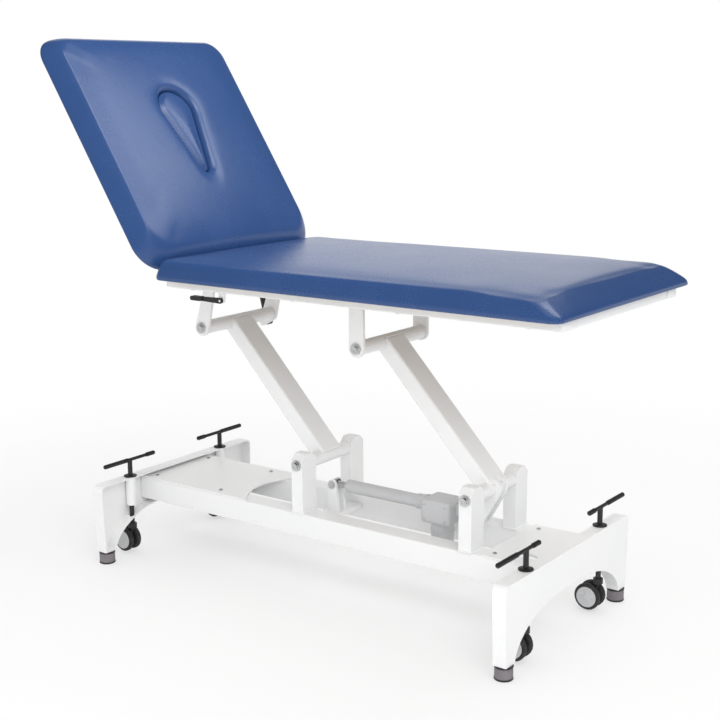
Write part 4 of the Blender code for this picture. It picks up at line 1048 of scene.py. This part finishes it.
def floor():
    """Pale floor that fades to plain white away from the couch and keeps its shadow."""
    mesh = bpy.data.meshes.new("floor")
    corners = [(x * FLOOR_HALF, y * FLOOR_HALF, 0.0) for x, y in ((-1, -1), (1, -1), (1, 1), (-1, 1))]
    mesh.from_pydata(corners, [], [(0, 1, 2, 3)])
    obj = bpy.data.objects.new("floor", mesh)
    obj.location.z = -FLOOR_GAP
    bpy.context.scene.collection.objects.link(obj)
    made = Finish("pale_floor")
    tone = made.place.noise(1.5, 2.0)
    made.set(Base_Color=tone.mix((0.88, 0.88, 0.88, 1), (0.90, 0.90, 0.90, 1)), Roughness=0.9)
    tree = made.material.node_tree
    far = made.place.make("ShaderNodeVectorMath", {"operation": "LENGTH"}, {0: made.place}, "Value")
    fade = FADE_LEAST + (1 - FADE_LEAST) * far.ease(*FADE_REACH)
    path = tree.nodes.new("ShaderNodeLightPath")
    seen = Value(tree, path.outputs["Is Camera Ray"])
    white = fade.make("ShaderNodeEmission", None, {"Color": (1, 1, 1, 1), "Strength": 1.0})
    plain = Value(tree, made.surface.outputs[0])
    both = fade.make("ShaderNodeMixShader", None, {0: fade * seen, 1: plain, 2: white})
    tree.links.new(both.socket, tree.nodes["Material Output"].inputs["Surface"])
    mesh.materials.append(made.material)


def world():
    """White surroundings to the eye, and in reflections white low down and on a screen behind the couch."""
    made = bpy.data.worlds.new("studio")
    bpy.context.scene.world = made
    made.use_nodes = True
    tree = made.node_tree
    path = tree.nodes.new("ShaderNodeLightPath")
    seen = Value(tree, path.outputs["Is Camera Ray"])
    shine = Value(tree, path.outputs["Is Glossy Ray"])
    through = Value(tree, path.outputs["Is Transmission Ray"])
    place = Value(tree, tree.nodes.new("ShaderNodeTexCoord").outputs["Generated"])
    up = place.make("ShaderNodeSeparateXYZ", None, {0: place}, "Z")
    level = place.make("ShaderNodeVectorMath", {"operation": "MULTIPLY"}, {0: place, 1: (1, 1, 0)})
    level = level.make("ShaderNodeVectorMath", {"operation": "NORMALIZE"}, {0: level})
    screen = (math.cos(SCREEN_TURN), math.sin(SCREEN_TURN), 0)
    along = level.make("ShaderNodeVectorMath", {"operation": "DOT_PRODUCT"}, {0: level, 1: screen}, "Value")
    behind = along.ease(*SCREEN_SIDES) * up.ease(*SCREEN_TOP)
    white = behind.math("MAXIMUM", behind, up.ease(*WHITE_LOW))
    mirrored = (1 - DARKEST) * white - (AMBIENT - DARKEST)
    strength = AMBIENT + (1 - AMBIENT) * seen + shine * mirrored + (1 - AMBIENT) * through
    back = tree.nodes["Background"]
    back.inputs["Color"].default_value = (1, 1, 1, 1)
    tree.links.new(strength.socket, back.inputs["Strength"])


def turn_to(obj, place, right, back):
    """Set an object's place and its right and back directions."""
    up = np.cross(back, right)
    rows = np.stack([right, up, back, np.array(place, float)], axis=1)
    obj.matrix_world = Matrix([*rows.tolist(), [0.0, 0.0, 0.0, 1.0]])


def lamp(name, place, aim, size, watts, spread=180, mirrored=True):
    """Soft square light at a place, aimed at a point, and mirrored in the covers or not."""
    data = bpy.data.lights.new(name, "AREA")
    data.size = size
    data.energy = watts
    data.spread = math.radians(spread)
    obj = bpy.data.objects.new(name, data)
    bpy.context.scene.collection.objects.link(obj)
    obj.visible_glossy = mirrored
    back = np.array(place, float) - np.array(aim, float)
    back = back / np.linalg.norm(back)
    right = np.cross([0.0, 0.0, 1.0], back)
    right = right / np.linalg.norm(right)
    turn_to(obj, place, right, back)


def camera():
    """The photograph's camera."""
    data = bpy.data.cameras.new("camera")
    data.lens = 65.81
    data.sensor_width = 36.0
    obj = bpy.data.objects.new("camera", data)
    bpy.context.scene.collection.objects.link(obj)
    azimuth = math.radians(36.3923)
    roll = math.radians(-0.3956)
    back = np.array([0.58079, -0.78799, 0.20433])
    level = np.array([math.cos(azimuth), math.sin(azimuth), 0.0])
    right = math.cos(roll) * level + math.sin(roll) * np.cross(back, level)
    turn_to(obj, (2.0906, -2.7981, 1.3618), right, back)
    bpy.context.scene.camera = obj


floor()
world()
lamp("front", (2.6, -2.2, 2.6), (0.0, 0.0, 0.7), 2.0, 52, mirrored=False)
lamp("far", (0.67, 1.23, 3.02), (-0.5, -0.2, 1.2), 1.2, 15.5)
lamp("near", (0.3, -3.0, 0.8), (0.0, 0.0, 0.5), 1.6, 9, mirrored=False)
lamp("head", (0.4, -0.3, 2.6), (-0.55, 0.0, 1.15), 1.0, 4.5, 90)
camera()

scene = bpy.context.scene
scene.view_settings.view_transform = "Standard"
scene.view_settings.look = "None"
